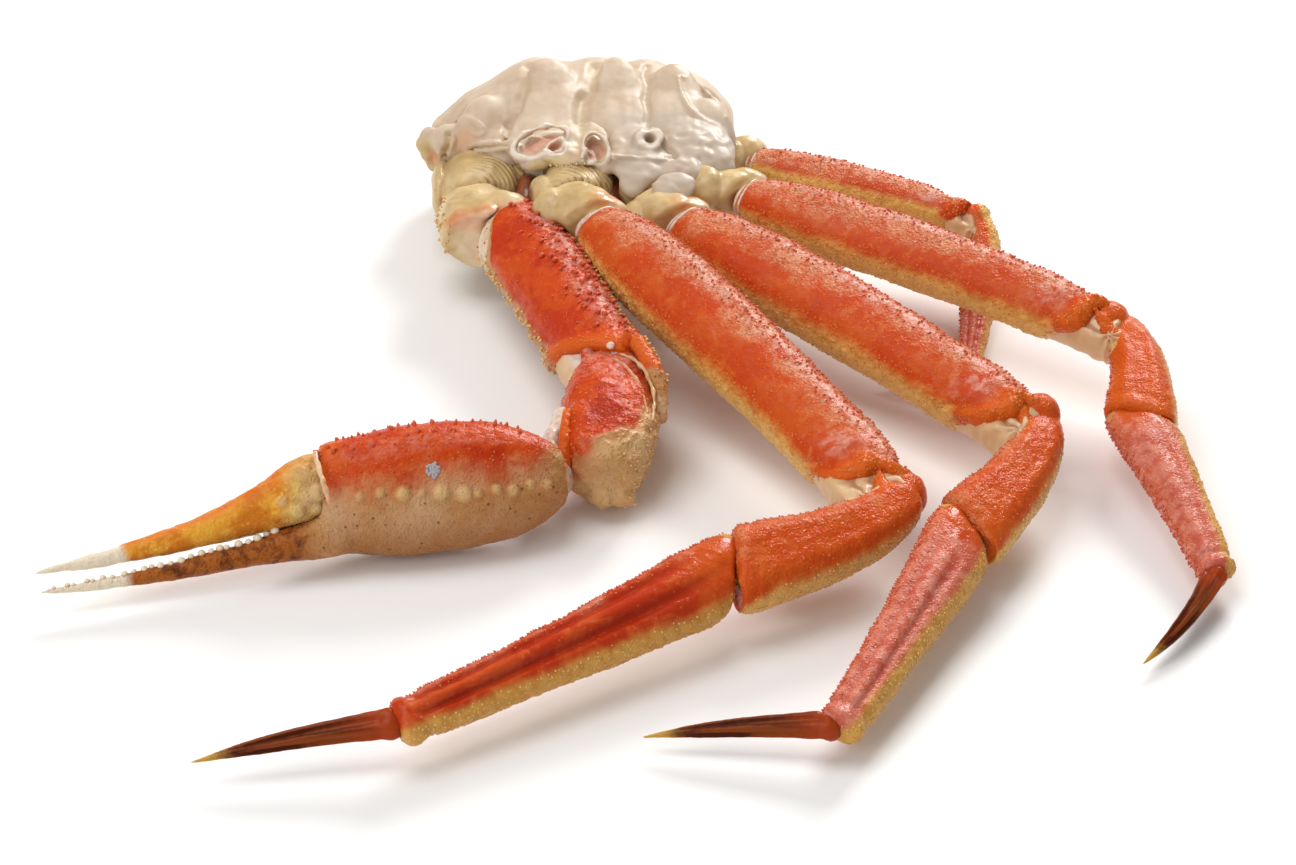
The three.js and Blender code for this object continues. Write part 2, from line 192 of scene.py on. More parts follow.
class Material:
    """A node material with its own node tree."""

    def __init__(self, name, slot):
        self.slot = slot
        self.data = bpy.data.materials.new(name)
        self.data.use_nodes = True
        self.tree = self.data.node_tree
        self.shader = self.tree.nodes["Principled BSDF"]

    def node(self, kind, settings=None, sockets=None, output=0):
        node = self.tree.nodes.new(kind)
        for key, value in (settings or {}).items():
            setattr(node, key, value)
        for key, value in (sockets or {}).items():
            self.fill(node.inputs[key], value)
        return Value(self, node.outputs[output])

    def fill(self, socket, value):
        if isinstance(value, Value):
            self.tree.links.new(value.socket, socket)
        elif isinstance(value, tuple) and socket.type == "RGBA":
            socket.default_value = (*value, 1)
        else:
            socket.default_value = value

    def attribute(self, name):
        return self.node("ShaderNodeAttribute", {"attribute_name": name}, output="Fac")

    def noise(self, size, detail=2.0, warp=0.0):
        """Smooth noise from 0 to 1, with lumps of about the given size in metres."""
        place = self.node("ShaderNodeTexCoord", output="Object")
        sockets = {"Vector": place, "Scale": 1 / size, "Detail": detail, "Distortion": warp}
        return self.node("ShaderNodeTexNoise", None, sockets, output="Fac")

    def dots(self, size):
        """The distance to the nearest of many scattered points, in shares of their spacing."""
        place = self.node("ShaderNodeTexCoord", output="Object")
        sockets = {"Vector": place, "Scale": 1 / size}
        return self.node("ShaderNodeTexVoronoi", None, sockets, output="Distance")

    def mix(self, factor, one, other):
        """A colour that goes from one to the other as the factor goes from 0 to 1."""
        node = self.tree.nodes.new("ShaderNodeMix")
        node.data_type = "RGBA"
        for key, value in (("Factor_Float", factor), ("A_Color", one), ("B_Color", other)):
            socket = next(s for s in node.inputs if s.identifier == key)
            self.fill(socket, value)
        return Value(self, next(s for s in node.outputs if s.identifier == "Result_Color"))

    def surface(self, **sockets):
        for key, value in sockets.items():
            self.fill(self.shader.inputs[key.replace("_", " ")], value)

    def bump(self, height, depth):
        """Lets a height from 0 to 1 stand for relief of the given depth in metres."""
        sockets = {"Height": height, "Distance": depth}
        self.surface(Normal=self.node("ShaderNodeBump", None, sockets, output="Normal"))


paper = Material("floor_paper", None)
paper.surface(Base_Color=(0.94, 0.935, 0.925), Roughness=0.9)
floor.data.materials.append(paper.data)
print("shader helpers ready")

# %% [markdown]
# ## The finish of a boiled shell
#
# Boiled crab shell is orange to red under a wet gloss, and never even. The smooth flank is clear
# orange with yellow grains that also serve as painted glints, the spiny crest is a frosted pink
# red with pale dots that are partly painted glints, and the belly side is the colour of pale gold.
# Pale patches near the crest and the lip are a painted highlight. The masks come from numbers that
# each shell carries at every point: `belly` is large on its pale side, `crest` on its spiny edge,
# and `lip` on its rolled rim.

# %% Shell finishes
def tint(colour, red, green, blue):
    return (colour[0] * red, colour[1] * green, colour[2] * blue)


def shell_colour(m, clear, deep, frosted, belly, dotted=0.95):
    """Mottles two colours, frosts the crest and turns the belly pale; returns useful masks."""
    clouds = m.noise(11 * MM, 4.0)
    streaks = m.noise(3.2 * MM, 4.0, 0.6)
    patches = m.noise(1.3 * MM, 3.0)
    speckle_and_glints = m.dots(0.7 * MM)
    wander = (clouds - 0.5) * 0.5 + (streaks - 0.5) * 0.3
    colour = m.mix((clouds + (streaks - 0.5) * 0.6).step(0.38, 0.62), deep, clear)
    yellow = tint(clear, 1.12, 2.0, 2.8)
    colour = m.mix(streaks.step(0.55, 0.8) * 0.45, colour, yellow)
    crest = (m.attribute("crest") + wander * 2.6).step(-0.1, 0.6)
    frost = crest * (0.45 + 0.55 * streaks.step(0.4, 0.6))
    colour = m.mix(frost * 0.75, colour, frosted)
    # Pale dots on the frost: partly its own speckle, partly painted glints.
    colour = m.mix(frost * speckle_and_glints.step(0.42, 0.15) * dotted, colour, tint(frosted, 1.25, 1.8, 2.2))
    # Pale pink patches: a painted highlight of the window light on the wet shell.
    bloom = m.attribute("bloom") * (streaks * 0.6 + patches * 0.4).step(0.42, 0.64)
    colour = m.mix(bloom * 0.7, colour, (0.77, 0.44, 0.38))
    colour = m.mix(crest * patches.step(0.52, 0.7) * 0.53 * dotted, colour, tint(deep, 0.8, 0.8, 0.9))
    # Sparse pale yellow dots on the flank: partly the shell's yellow grains, partly painted glints.
    grains = m.dots(1.25 * MM).step(0.32, 0.14) * m.noise(6 * MM).step(0.42, 0.62)
    colour = m.mix(grains * (1 - crest) * 0.4, colour, tint(yellow, 1.3, 1.3, 1.3))
    colour = m.mix(m.attribute("lip") * 0.7, colour, (0.72, 0.135, 0.009))
    colour = m.mix(m.attribute("shade"), colour, tint(deep, 0.72, 0.5, 0.6))
    pale = (m.attribute("belly") + wander * 0.6).step(-0.1, 0.34)
    belly_colour = m.mix((streaks * 0.6 + patches * 0.4).step(0.36, 0.6),
                         tint(belly, 0.84, 0.76, 0.62), belly)
    return m.mix(pale, colour, belly_colour), crest, pale, streaks, patches


SHELL_ROUGHNESS = 0.17


def shell_skin(m, crest, pale, streaks, patches, relief=0.30):
    """Gloss and relief: the crest and the belly are grainy, the flank is smooth."""
    m.surface(Roughness=SHELL_ROUGHNESS + 0.25 * (streaks - 0.5) + 0.10 * crest + 0.12 * pale,
              Coat_Weight=0.07, Coat_Roughness=0.05, Specular_IOR_Level=0.11)
    fine = m.dots(0.8 * MM).step(0.55, 0.05)
    wrinkles = m.noise(0.6 * MM, 3.0)
    rough_skin = fine * (0.2 + 0.9 * crest + 0.3 * pale) + wrinkles + 0.9 * patches + 0.5 * streaks
    m.bump(rough_skin, relief * MM)


def shell_finish(name, slot, clear, deep, frosted, belly, dotted=0.95, relief=0.30):
    m = Material(name, slot)
    colour, *masks = shell_colour(m, clear, deep, frosted, belly, dotted)
    m.surface(Base_Color=colour)
    shell_skin(m, *masks, relief=relief)
    return m


ORANGE_SHELL = shell_finish("orange_shell", "orange_shell", (0.60, 0.086, 0.009),
                            (0.56, 0.056, 0.005), (0.66, 0.245, 0.120), (0.80, 0.47, 0.13))
PINK_SHELL = shell_finish("pink_shell", "pink_shell", (0.54, 0.068, 0.012),
                          (0.46, 0.034, 0.006), (0.69, 0.245, 0.170), (0.64, 0.33, 0.075),
                          dotted=0.35, relief=0.12)

# %% The claw's own finish
CLAW_ORANGE = (0.59, 0.064, 0.005)
CLAW_RED = (0.50, 0.034, 0.004)
CLAW_FROST = (0.62, 0.14, 0.07)
CLAW_CREAM = (0.52, 0.260, 0.095)


def claw_finish(name, slot, clear, deep, belly):
    """Claw shell: like leg shell, but with rusty, ivory-tipped fingers and brown specks."""
    m = Material(name, slot)
    colour, crest, pale, streaks, patches = shell_colour(m, clear, deep, CLAW_FROST, belly)
    light = m.noise(14 * MM, 3.0).step(0.4, 0.62) * pale
    colour = m.mix(light * 0.7, colour, (0.64, 0.42, 0.23))
    peach = m.noise(8 * MM, 2.0).step(0.45, 0.7) * pale
    colour = m.mix(peach * 0.5, colour, (0.56, 0.28, 0.15))
    # Painted shade: a darker orange brown on the lower side of the palm.
    colour = m.mix(m.attribute("under") * (0.4 + 0.6 * streaks), colour, (0.33, 0.120, 0.030))
    specks = m.dots(2.2 * MM).step(0.20, 0.10) * m.noise(3 * MM).step(0.45, 0.53) * pale
    colour = m.mix(specks * 0.8, colour, (0.13, 0.05, 0.012))
    rust = m.mix((streaks * 0.7 + patches * 0.3).step(0.34, 0.56), (0.13, 0.027, 0.004),
                 (0.38, 0.105, 0.013))
    colour = m.mix(m.attribute("rust"), colour, rust)
    colour = m.mix(m.attribute("knob"), colour, (0.68, 0.47, 0.20))
    ivory = (m.attribute("ivory") + 0.3 * (streaks - 0.5)).step(0.35, 0.65)
    colour = m.mix(ivory, colour, (0.80, 0.68, 0.52))
    m.surface(Base_Color=colour)
    shell_skin(m, crest, pale, streaks, patches)
    return m


CLAW_SHELL = claw_finish("claw_shell", "orange_shell", CLAW_ORANGE, CLAW_RED, CLAW_CREAM)
OCHRE_SHELL = claw_finish("ochre_shell", "ochre_shell", (0.78, 0.36, 0.036),
                          (0.62, 0.19, 0.013), (0.74, 0.52, 0.17))

# %% Cream shell, meat and skin
def soft_finish(name, slot, low, high, size, rough=0.4, relief=0.08, glow=0.1, wet=0.2, **paints):
    """A finish that wanders between two colours, with coloured paints where numbers say so."""
    m = Material(name, slot)
    patches = m.noise(size, 4.0, 0.4)
    fine = m.noise(size / 4, 4.0)
    colour = m.mix((patches * 0.7 + fine * 0.3).step(0.34, 0.64), low, high)
    for number, paint in paints.items():
        amount = (m.attribute(number) + 0.5 * (patches - 0.5)).step(0.2, 0.8)
        colour = m.mix(amount, colour, paint)
    m.surface(Base_Color=colour, Roughness=rough + 0.15 * (patches - 0.5),
              Coat_Weight=wet + 0.05 * m.attribute("gloss"),
              Coat_Roughness=0.12, Subsurface_Weight=glow, Subsurface_Radius=(1.0, 0.6, 0.35),
              Subsurface_Scale=2.0 * MM)
    m.bump(fine, relief * MM)
    return m


# Its dark paint is painted shade by the gaps between the hips, its line paint painted shade in creases and
# the troughs of folds.
CREAM_SHELL = soft_finish("cream_shell", "cream_shell", (0.52, 0.345, 0.140), (0.65, 0.475, 0.235),
                          7 * MM, rough=0.36, wet=0.1, orange=(0.64, 0.14, 0.012),
                          dark=(0.20, 0.045, 0.010), white=(0.76, 0.60, 0.44),
                          gold=(0.64, 0.42, 0.14), line=(0.33, 0.19, 0.07))
WHITE_MEAT = soft_finish("white_meat", "white_meat", (0.54, 0.39, 0.26), (0.63, 0.50, 0.37),
                         12 * MM, rough=0.50, relief=0.05, glow=0.25, wet=0.03,
                         gold=(0.58, 0.43, 0.20), fold=(0.44, 0.29, 0.13),
                         peach=(0.62, 0.30, 0.14), dark=(0.22, 0.055, 0.018),
                         pit=(0.60, 0.33, 0.22), white=(0.78, 0.68, 0.57),
                         rust=(0.40, 0.19, 0.06), cool=(0.48, 0.385, 0.30))
JOINT_SKIN = soft_finish("joint_skin", "joint_skin", (0.60, 0.32, 0.15), (0.74, 0.49, 0.28),
                         5 * MM, rough=0.40, relief=0.08, glow=0.15, wet=0.08,
                         orange=(0.62, 0.12, 0.012), fold=(0.44, 0.20, 0.09),
                         pale=(0.74, 0.60, 0.52), cream=(0.68, 0.44, 0.22))
JOINT_RING = soft_finish("joint_ring", "joint_skin", (0.64, 0.42, 0.30), (0.80, 0.64, 0.52),
                         2 * MM, rough=0.3, relief=0.05, glow=0.1, wet=0.4)
# Dark red skin for the gaps between the hips, partly painted shade.
HIP_SKIN_AND_SHADE = soft_finish("hip_skin_and_shade", "joint_skin", (0.15, 0.028, 0.008), (0.34, 0.090, 0.030),
                       5 * MM, rough=0.25, relief=0.1, glow=0.1, wet=0.4)

# %% Dark horn, spines and grains
def dark_finish():
    """Dark horn with lengthwise streaks, a red base and a golden point."""
    m = Material("dark_tip", "dark_tip")
    along, streak = m.attribute("along"), m.attribute("streak")
    fine = m.noise(1.5 * MM, 4.0, 0.5) - 0.5
    colour = m.mix((streak + fine * 0.5).step(0.3, 0.75), (0.070, 0.011, 0.002),
                   (0.22, 0.045, 0.007))
    colour = m.mix((along + 0.3 * fine).step(0.35, 0.05), colour, (0.35, 0.046, 0.008))
    colour = m.mix((along + 0.1 * fine).step(0.78, 0.92), colour, (0.55, 0.30, 0.055))
    m.surface(Base_Color=colour, Roughness=0.20 + 0.3 * fine, Coat_Weight=0.03,
              Coat_Roughness=0.08, Specular_IOR_Level=0.08)
    m.bump(m.noise(0.9 * MM, 3.0), 0.05 * MM)
    return m


def spine_finish(name, slot, base, tip):
    """Small thorns and grains whose colour changes from their foot to their point."""
    m = Material(name, slot)
    ramp = (m.attribute("tip") + 0.6 * (m.noise(3 * MM) - 0.5)).step(0.25, 0.75)
    m.surface(Base_Color=m.mix(ramp, base, tip), Roughness=0.3 + 0.2 * (m.noise(2 * MM) - 0.5),
              Coat_Weight=0.12, Coat_Roughness=0.08, Specular_IOR_Level=0.3)
    return m


DARK_TIP = dark_finish()
RED_SPINE = spine_finish("red_spine", "orange_shell", (0.62, 0.105, 0.030), (0.60, 0.100, 0.045))
GOLD_GRAIN = spine_finish("gold_grain", "orange_shell", (0.60, 0.11, 0.015), (0.66, 0.19, 0.035))
PALE_GRAIN = spine_finish("pale_grain", "orange_shell", (0.62, 0.32, 0.10), (0.76, 0.48, 0.18))
IVORY = spine_finish("ivory", "cream_shell", (0.48, 0.28, 0.12), (0.82, 0.70, 0.52))
GREY_CRUST = spine_finish("grey_crust", "cream_shell", (0.20, 0.17, 0.18), (0.40, 0.37, 0.39))
print("finishes:", len(bpy.data.materials))

# %% [markdown]
# ## How each piece lies
#
# A shell needs its own directions: along the limb, out to the side and up. They are read from
# the solid: the axis that its surface is spread out on the most runs along it, and the one that
# it is spread on the least points up out of its broad face.

# %% Reading a solid's directions
def points_of(piece):
    flat = np.empty(len(piece.data.vertices) * 3)
    piece.data.vertices.foreach_get("co", flat)
    return flat.reshape(-1, 3)


def triangles_of(mesh):
    mesh.calc_loop_triangles()
    corners = np.empty(len(mesh.loop_triangles) * 3, np.int32)
    mesh.loop_triangles.foreach_get("vertices", corners)
    return corners.reshape(-1, 3)


def unit(vector):
    return vector / np.linalg.norm(vector)


class Lie:
    """Where a solid is and how it is turned: its middle, directions, ends and far cap."""

    def __init__(self, node, before, up=None):
        solid = frame["nodes"][node]
        triangles = points_of(solid)[triangles_of(solid.data)]
        cross = np.cross(triangles[:, 1] - triangles[:, 0], triangles[:, 2] - triangles[:, 0])
        area = np.linalg.norm(cross, axis=1)
        centres = triangles.mean(axis=1)
        self.middle = (centres * area[:, None]).sum(axis=0) / area.sum()
        spread = centres - self.middle
        _, axes = np.linalg.eigh((spread * area[:, None]).T @ spread)
        self.along = axes[:, 2]
        if (self.middle - before) @ self.along < 0:
            self.along = -self.along
        upward = axes[:, 0] if up is None else np.array(up, float)
        upward = unit(upward - self.along * (upward @ self.along))
        self.up = upward if upward[2] > 0 else -upward
        self.outer = np.cross(self.up, self.along)
        corners = triangles.reshape(-1, 3) - self.middle
        self.near, self.far = np.sort(corners @ self.along)[[0, -1]]
        self.half_width = np.ptp(corners @ self.outer) / 2
        self.half_height = np.ptp(corners @ self.up) / 2
        cap = (cross @ self.along > 0.5 * area) & (spread @ self.along > 0.6 * self.far)
        self.cap_middle = (centres[cap] * area[cap][:, None]).sum(axis=0) / area[cap].sum()
        self.cap_facing = unit(cross[cap].sum(axis=0))

    def at(self, along, side=0.0, rise=0.0):
        """A point at a share of the length, of the half width and of the half height."""
        return (self.middle + self.along * (self.near + along * (self.far - self.near))
                + self.outer * side * self.half_width + self.up * rise * self.half_height)


UPRIGHT = {"claw_carpus": (0, 0, 1), "claw_coxa": (0, 0, 1), "claw_ischium": (0, 0, 1)}
CHAIN = {"claw": ["coxa", "ischium", "merus", "carpus", "palm", "finger"]}
CHAIN.update({leg: ["coxa", "ischium", "merus", "carpus", "propodus", "dactyl"] for leg in LEGS})
lies = {}
for limb, parts in CHAIN.items():
    before = points_of(frame["nodes"]["shoulder"]).mean(axis=0)
    for part in parts:
        node = f"{limb}_{part}"
        lies[node] = Lie(node, before, UPRIGHT.get(node))
        before = lies[node].middle
for node, lie in lies.items():
    print(f"{node:14s} {(lie.far - lie.near) / MM:6.1f} mm long, {lie.half_width / MM * 2:5.1f} wide")

# %% [markdown]
# ## From a plain solid to a shell
#
# A shell starts as a copy of its solid. The copy is merged and rounded with a Subdivision
# Surface, then a voxel Remesh gives it an even skin of small faces that can be pushed in and out
# like clay. That is simpler than modelling each shell from a cylinder, and the sizes stay true.

# %% Copying and rounding a solid
VOXEL = 0.42 * MM       # the size of the faces of a shell
FINE_VOXEL = 0.25 * MM  # and of a thin strand
MERGE = 0.02 * MM       # corners closer than this are one
ROUNDING = 2            # levels of Subdivision Surface


def only(*pieces):
    """Leaves only these pieces selected, with the first one active."""
    bpy.ops.object.select_all(action="DESELECT")
    for piece in pieces:
        piece.select_set(True)
    bpy.context.view_layer.objects.active = pieces[0]


def finish_with(piece, kind, **settings):
    """Adds a modifier and applies it."""
    only(piece)
    modifier = piece.modifiers.new(kind.lower(), kind)
    for key, value in settings.items():
        setattr(modifier, key, value)
    bpy.ops.object.modifier_apply(modifier=modifier.name)


def open_all(piece):
    """Opens a piece in edit mode with everything selected."""
    only(piece)
    bpy.ops.object.mode_set(mode="EDIT")
    bpy.ops.mesh.select_all(action="SELECT")


def copy_of(node, name):
    """A rounded copy of a solid, with its corners merged."""
    piece = frame["nodes"][node].copy()
    piece.data = piece.data.copy()
    piece.name = piece.data.name = name
    piece.parent = None
    piece.hide_render = piece.hide_viewport = False
    for key in list(piece.keys()):
        del piece[key]
    piece.data.materials.clear()
    bpy.context.scene.collection.objects.link(piece)
    open_all(piece)
    bpy.ops.mesh.remove_doubles(threshold=MERGE)
    bpy.ops.mesh.tris_convert_to_quads()
    bpy.ops.object.mode_set(mode="OBJECT")
    finish_with(piece, "SUBSURF", levels=ROUNDING, render_levels=ROUNDING)
    return piece


def reskin(piece, voxel, smooth, factor=0.5):
    """Gives a piece one even skin of small faces and smooths it."""
    finish_with(piece, "REMESH", mode="VOXEL", voxel_size=voxel)
    finish_with(piece, "SMOOTH", factor=factor, iterations=smooth)
    return piece


def rounded(node, name, voxel=VOXEL, smooth=6, additions=()):
    """A solid's rounded copy, melted together with any additions into one skin."""
    piece = copy_of(node, name)
    only(piece, *additions)
    bpy.ops.object.join()
    return reskin(piece, voxel, smooth)


# %% Numbers that a shell carries
def step(values, start, end):
    """A smooth step from 0 at start to 1 at end."""
    t = np.clip((values - start) / (end - start), 0, 1)
    return t * t * (3 - 2 * t)


def hump(values, middle, width):
    """A smooth hump of height 1 that is gone a width away from its middle."""
    return np.clip(1 - ((values - middle) / width) ** 2, 0, 1) ** 2


def lumps(points, *sizes):
    """Soft noise from about -1 to 1, with lumps of one size or of a size along each axis."""
    scaled = (points / np.array(sizes)).tolist()
    return np.array([noise.noise(point) for point in scaled])


def near(points, place, radius):
    """1 at a place, and 0 from a radius in mm around it."""
    distance = np.linalg.norm(points - np.asarray(place), axis=1) / MM
    return step(distance, radius, radius * 0.35)


def near_path(points, path, radius):
    """1 on a path of straight runs, and 0 from a radius in mm around it."""
    best = np.full(len(points), np.inf)
    for start, end in zip(path[:-1], path[1:]):
        run = np.asarray(end) - start
        share = np.clip((points - start) @ run / (run @ run), 0, 1)
        best = np.minimum(best, np.linalg.norm(points - start - share[:, None] * run, axis=1))
    return step(best / MM, radius, 0)


class Places:
    """Where each point of a shell is: in millimetres, and as shares of its section."""

    def __init__(self, piece, lie, slices=32):
        points = points_of(piece)
        axes = np.stack((lie.along, lie.outer, lie.up), axis=1)
        self.local = (points - lie.middle) @ axes / MM
        x, y, z = self.local.T
        self.along = (x * MM - lie.near) / (lie.far - lie.near)
        self.side = self.share(y, slices)
        self.rise = self.share(z, slices)
        self.angle = np.arctan2(self.rise, self.side)
        self.to_cap = (lie.cap_middle - points) @ lie.cap_facing / MM

    def share(self, values, slices):
        """How far a point is from the middle (0) to the edge (1) of the section it lies in."""
        slot = np.clip((self.along * slices).astype(int), 0, slices - 1)
        low = np.full(slices, np.inf)
        high = np.full(slices, -np.inf)
        np.minimum.at(low, slot, values)
        np.maximum.at(high, slot, values)
        at = (np.arange(slices) + 0.5) / slices
        middle = np.interp(self.along, at, (high + low) / 2)
        half = np.interp(self.along, at, (high - low) / 2)
        return np.clip((values - middle) / np.maximum(half, 0.1), -1.2, 1.2)


def normals_of(piece):
    flat = np.empty(len(piece.data.vertices) * 3)
    piece.data.vertex_normals.foreach_get("vector", flat)
    return flat.reshape(-1, 3)


def push(piece, amount, way=None):
    """Moves each point by an amount in millimetres, outwards or in the given way."""
    way = normals_of(piece) if way is None else way
    moved = points_of(piece) + way * (np.asarray(amount) * MM)[:, None]
    piece.data.vertices.foreach_set("co", moved.ravel())
    piece.data.update()


def hollows(piece, iterations=24):
    """How deep each point lies in a crease, in mm: a smoothed copy bridges the creases."""
    smooth = piece.copy()
    smooth.data = piece.data.copy()
    bpy.context.scene.collection.objects.link(smooth)
    finish_with(smooth, "SMOOTH", factor=0.5, iterations=iterations)
    depth = ((points_of(smooth) - points_of(piece)) * normals_of(piece)).sum(axis=1) / MM
    bpy.data.objects.remove(smooth)
    return depth


def carry(piece, **numbers):
    """Stores numbers at each point of a piece for its material to read."""
    for name, values in numbers.items():
        attribute = piece.data.attributes.new(name, "FLOAT", "POINT")
        attribute.data.foreach_set("value", np.full(len(piece.data.vertices), values, np.float32))


def done(piece, material, *nodes):
    """Gives a piece its finish and ties it to the part."""
    piece.data.materials.clear()
    piece.data.materials.append(material.data)
    only(piece)
    bpy.ops.object.shade_smooth()
    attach(piece, "root")
    if nodes:
        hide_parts(*nodes)
    return piece


# %% Slices, blobs, rings and strands
def band(node, name, start, end, grow, material=None):
    """A closed ring cut from a solid's skin, between two distances from its near end in mm."""
    lie = lies[node]
    piece = copy_of(node, name)
    open_all(piece)
    for distance, way in ((start, -1), (end, 1)):
        place = lie.middle + lie.along * (lie.near + distance * MM)
        bpy.ops.mesh.bisect(plane_co=place, plane_no=lie.along * way, clear_outer=True)
        bpy.ops.mesh.select_all(action="SELECT")
    bpy.ops.object.mode_set(mode="OBJECT")
    finish_with(piece, "SOLIDIFY", thickness=(1.2 if material else 1.6) * MM, offset=-0.2 + grow)
    if material:
        done(reskin(piece, 0.3 * MM, 8, 0.6), material)
    return piece


def settle(piece):
    """Puts an object's place, turn and scale into its mesh."""
    only(piece)
    bpy.ops.object.transform_apply(location=True, rotation=True, scale=True)
    return piece


def facing(way):
    """The turn that points an object's own Z axis in a given way."""
    return Vector(way).to_track_quat("Z", "Y").to_euler()


def blob(place, size, way=(0, 0, 1), spin=0.0):
    """A soft lump with half sizes in mm, its third size lying along the given way."""
    turn = Matrix.Rotation(math.radians(spin), 3, Vector(way)) @ facing(way).to_matrix()
    bpy.ops.mesh.primitive_uv_sphere_add(segments=24, ring_count=16, radius=1, location=place,
                                         rotation=turn.to_euler(), scale=Vector(size) * MM)
    return settle(bpy.context.object)


def ring(place, size, thick, way, spin=0.0):
    """An oval ring with half sizes in mm that faces the given way."""
    turn = Matrix.Rotation(math.radians(spin), 3, Vector(way)) @ facing(way).to_matrix()
    bpy.ops.mesh.primitive_torus_add(major_segments=40, minor_segments=12, major_radius=1,
                                     minor_radius=thick / max(size), location=place,
                                     rotation=turn.to_euler())
    bpy.context.object.scale = (size[0] * MM, size[1] * MM, max(size) * MM)
    return settle(bpy.context.object)


def strand(points, thick):
    """A soft strand through five points, thickest in its middle."""
    bpy.ops.curve.primitive_nurbs_path_add(location=(0, 0, 0))
    path = bpy.context.object
    curve = path.data
    for point, place, share in zip(curve.splines[0].points, points, (0.5, 0.9, 1, 0.9, 0.5)):
        point.co = (*place, 1)
        point.radius = share
    curve.bevel_depth = thick * MM
    curve.bevel_resolution = 3
    curve.use_fill_caps = True
    only(path)
    bpy.ops.object.convert(target="MESH")
    return bpy.context.object


def stretched(name, points, voxel, smooth):
    """A skin stretched over a cloud of points."""
    mesh = bpy.data.meshes.new(name)
    mesh.from_pydata(points.tolist(), [], [])
    piece = bpy.data.objects.new(name, mesh)
    bpy.context.scene.collection.objects.link(piece)
    open_all(piece)
    bpy.ops.mesh.convex_hull()
    bpy.ops.object.mode_set(mode="OBJECT")
    return reskin(piece, voxel, smooth)


def spot_under(points, normals, place, way):
    """Where a line through a place meets a skin from outside, and how the skin faces there."""
    reach = points - place
    depth = reach @ way
    aside = np.linalg.norm(reach - depth[:, None] * way, axis=1)
    close = np.flatnonzero(aside < max(1.2 * MM, 1.2 * aside.min()))
    top = close[np.argmax(depth[close])]
    around = np.linalg.norm(points - points[top], axis=1) < 3 * MM
    return points[top], unit(normals[around].mean(axis=0))


def fused(pieces, name, voxel, smooth):
    """Joins pieces and gives them one common skin."""
    only(*pieces)
    bpy.ops.object.join()
    piece = bpy.context.object
    piece.name = piece.data.name = name
    return reskin(piece, voxel, smooth)


# %% [markdown]
# ## Spines and grains
#
# Snow crab shell is set with thousands of tiny thorns and grains. One thorn and one grain are
# modelled from a coarse sphere, and their corners are then copied to many places at once in an
# array. That is far quicker than hundreds of objects, and each limb gets one joined piece of a
# kind. The places are picked at random, with a fixed seed, where a weight allows.

# %% A thorn, a grain and a way to plant them
def small_shape(segments, rings, taper):
    """The corners and faces of a small sphere, drawn out to a point if taper is above 0."""
    bpy.ops.mesh.primitive_uv_sphere_add(segments=segments, ring_count=rings, radius=1)
    ball = bpy.context.object
    corners, faces = points_of(ball), triangles_of(ball.data)
    bpy.data.objects.remove(ball)
    height = (corners[:, 2] + 1) / 2
    corners[:, :2] *= (1 - taper * height ** 0.8)[:, None]
    corners[:, 2] = height * (1 + 0.9 * taper) - 0.35
    return corners, faces, height


THORN = small_shape(7, 6, 0.72)
GRAIN = small_shape(6, 4, 0.0)


def plant(name, shape, spots, ways, sizes, material):
    """One joined piece: a copy of a small shape at every spot, standing along its way."""
    corners, faces, height = shape
    ways = np.broadcast_to(ways, spots.shape)
    sizes = np.broadcast_to(sizes, len(spots))
    ways = ways / np.linalg.norm(ways, axis=1)[:, None]
    across = np.cross(ways, np.roll(ways, 1, axis=1) + (0.3, -0.2, 0.1))
    across /= np.linalg.norm(across, axis=1)[:, None]
    third = np.cross(ways, across)
    turned = sum(corners[None, :, k, None] * axis[:, None, :]
                 for k, axis in enumerate((across, third, ways)))
    points = spots[:, None, :] + turned * sizes[:, None, None]
    shifts = np.arange(len(spots))[:, None, None] * len(corners)
    mesh = bpy.data.meshes.new(name)
    mesh.from_pydata(points.reshape(-1, 3).tolist(), [], (faces[None] + shifts).reshape(-1, 3).tolist())
    piece = bpy.data.objects.new(name, mesh)
    bpy.context.scene.collection.objects.link(piece)
    carry(piece, tip=np.tile(height, len(spots)))
    return done(piece, material)


def spots_on(piece, weight, spacing, seed):
    """Picks points of a piece: at most one in each small box, and only where a weight allows."""
    rng = np.random.default_rng(seed)
    keep = np.flatnonzero(rng.random(len(weight)) < weight)
    rng.shuffle(keep)
    boxes = np.floor(points_of(piece)[keep] / spacing).astype(int)
    _, first = np.unique(boxes, axis=0, return_index=True)
    return keep[np.sort(first)]


planted = {}


def sow(kind, limb, piece, weight, spacing, size, lean, seed):
    """Collects spots of one kind for a limb; they are planted when the limb is whole."""
    picks = spots_on(piece, weight, spacing * MM, seed)
    rng = np.random.default_rng(seed + 1)
    ways = normals_of(piece)[picks] + lean
    sizes = rng.uniform(0.65, 1.25, len(picks)) * size * MM
    planted.setdefault((kind, limb), []).append((points_of(piece)[picks], ways, sizes))


print("thorn:", len(THORN[1]), "faces, grain:", len(GRAIN[1]), "faces")

# %% [markdown]
# ## The walking legs
#
# Each leg is a long flat merus, a short carpus, a grooved propodus and a dark dactyl. The merus
# ends in a thick rolled lip, and behind it a pale soft skin fills the inside of the knee.

# %% Merus
def belly_of(places, towards, offset):
    """Above 0 on the pale side: below, and towards the outer (1) or inner (-1) edge."""
    return 0.9 * towards * places.side - 0.4 * places.rise + offset


shells = {}
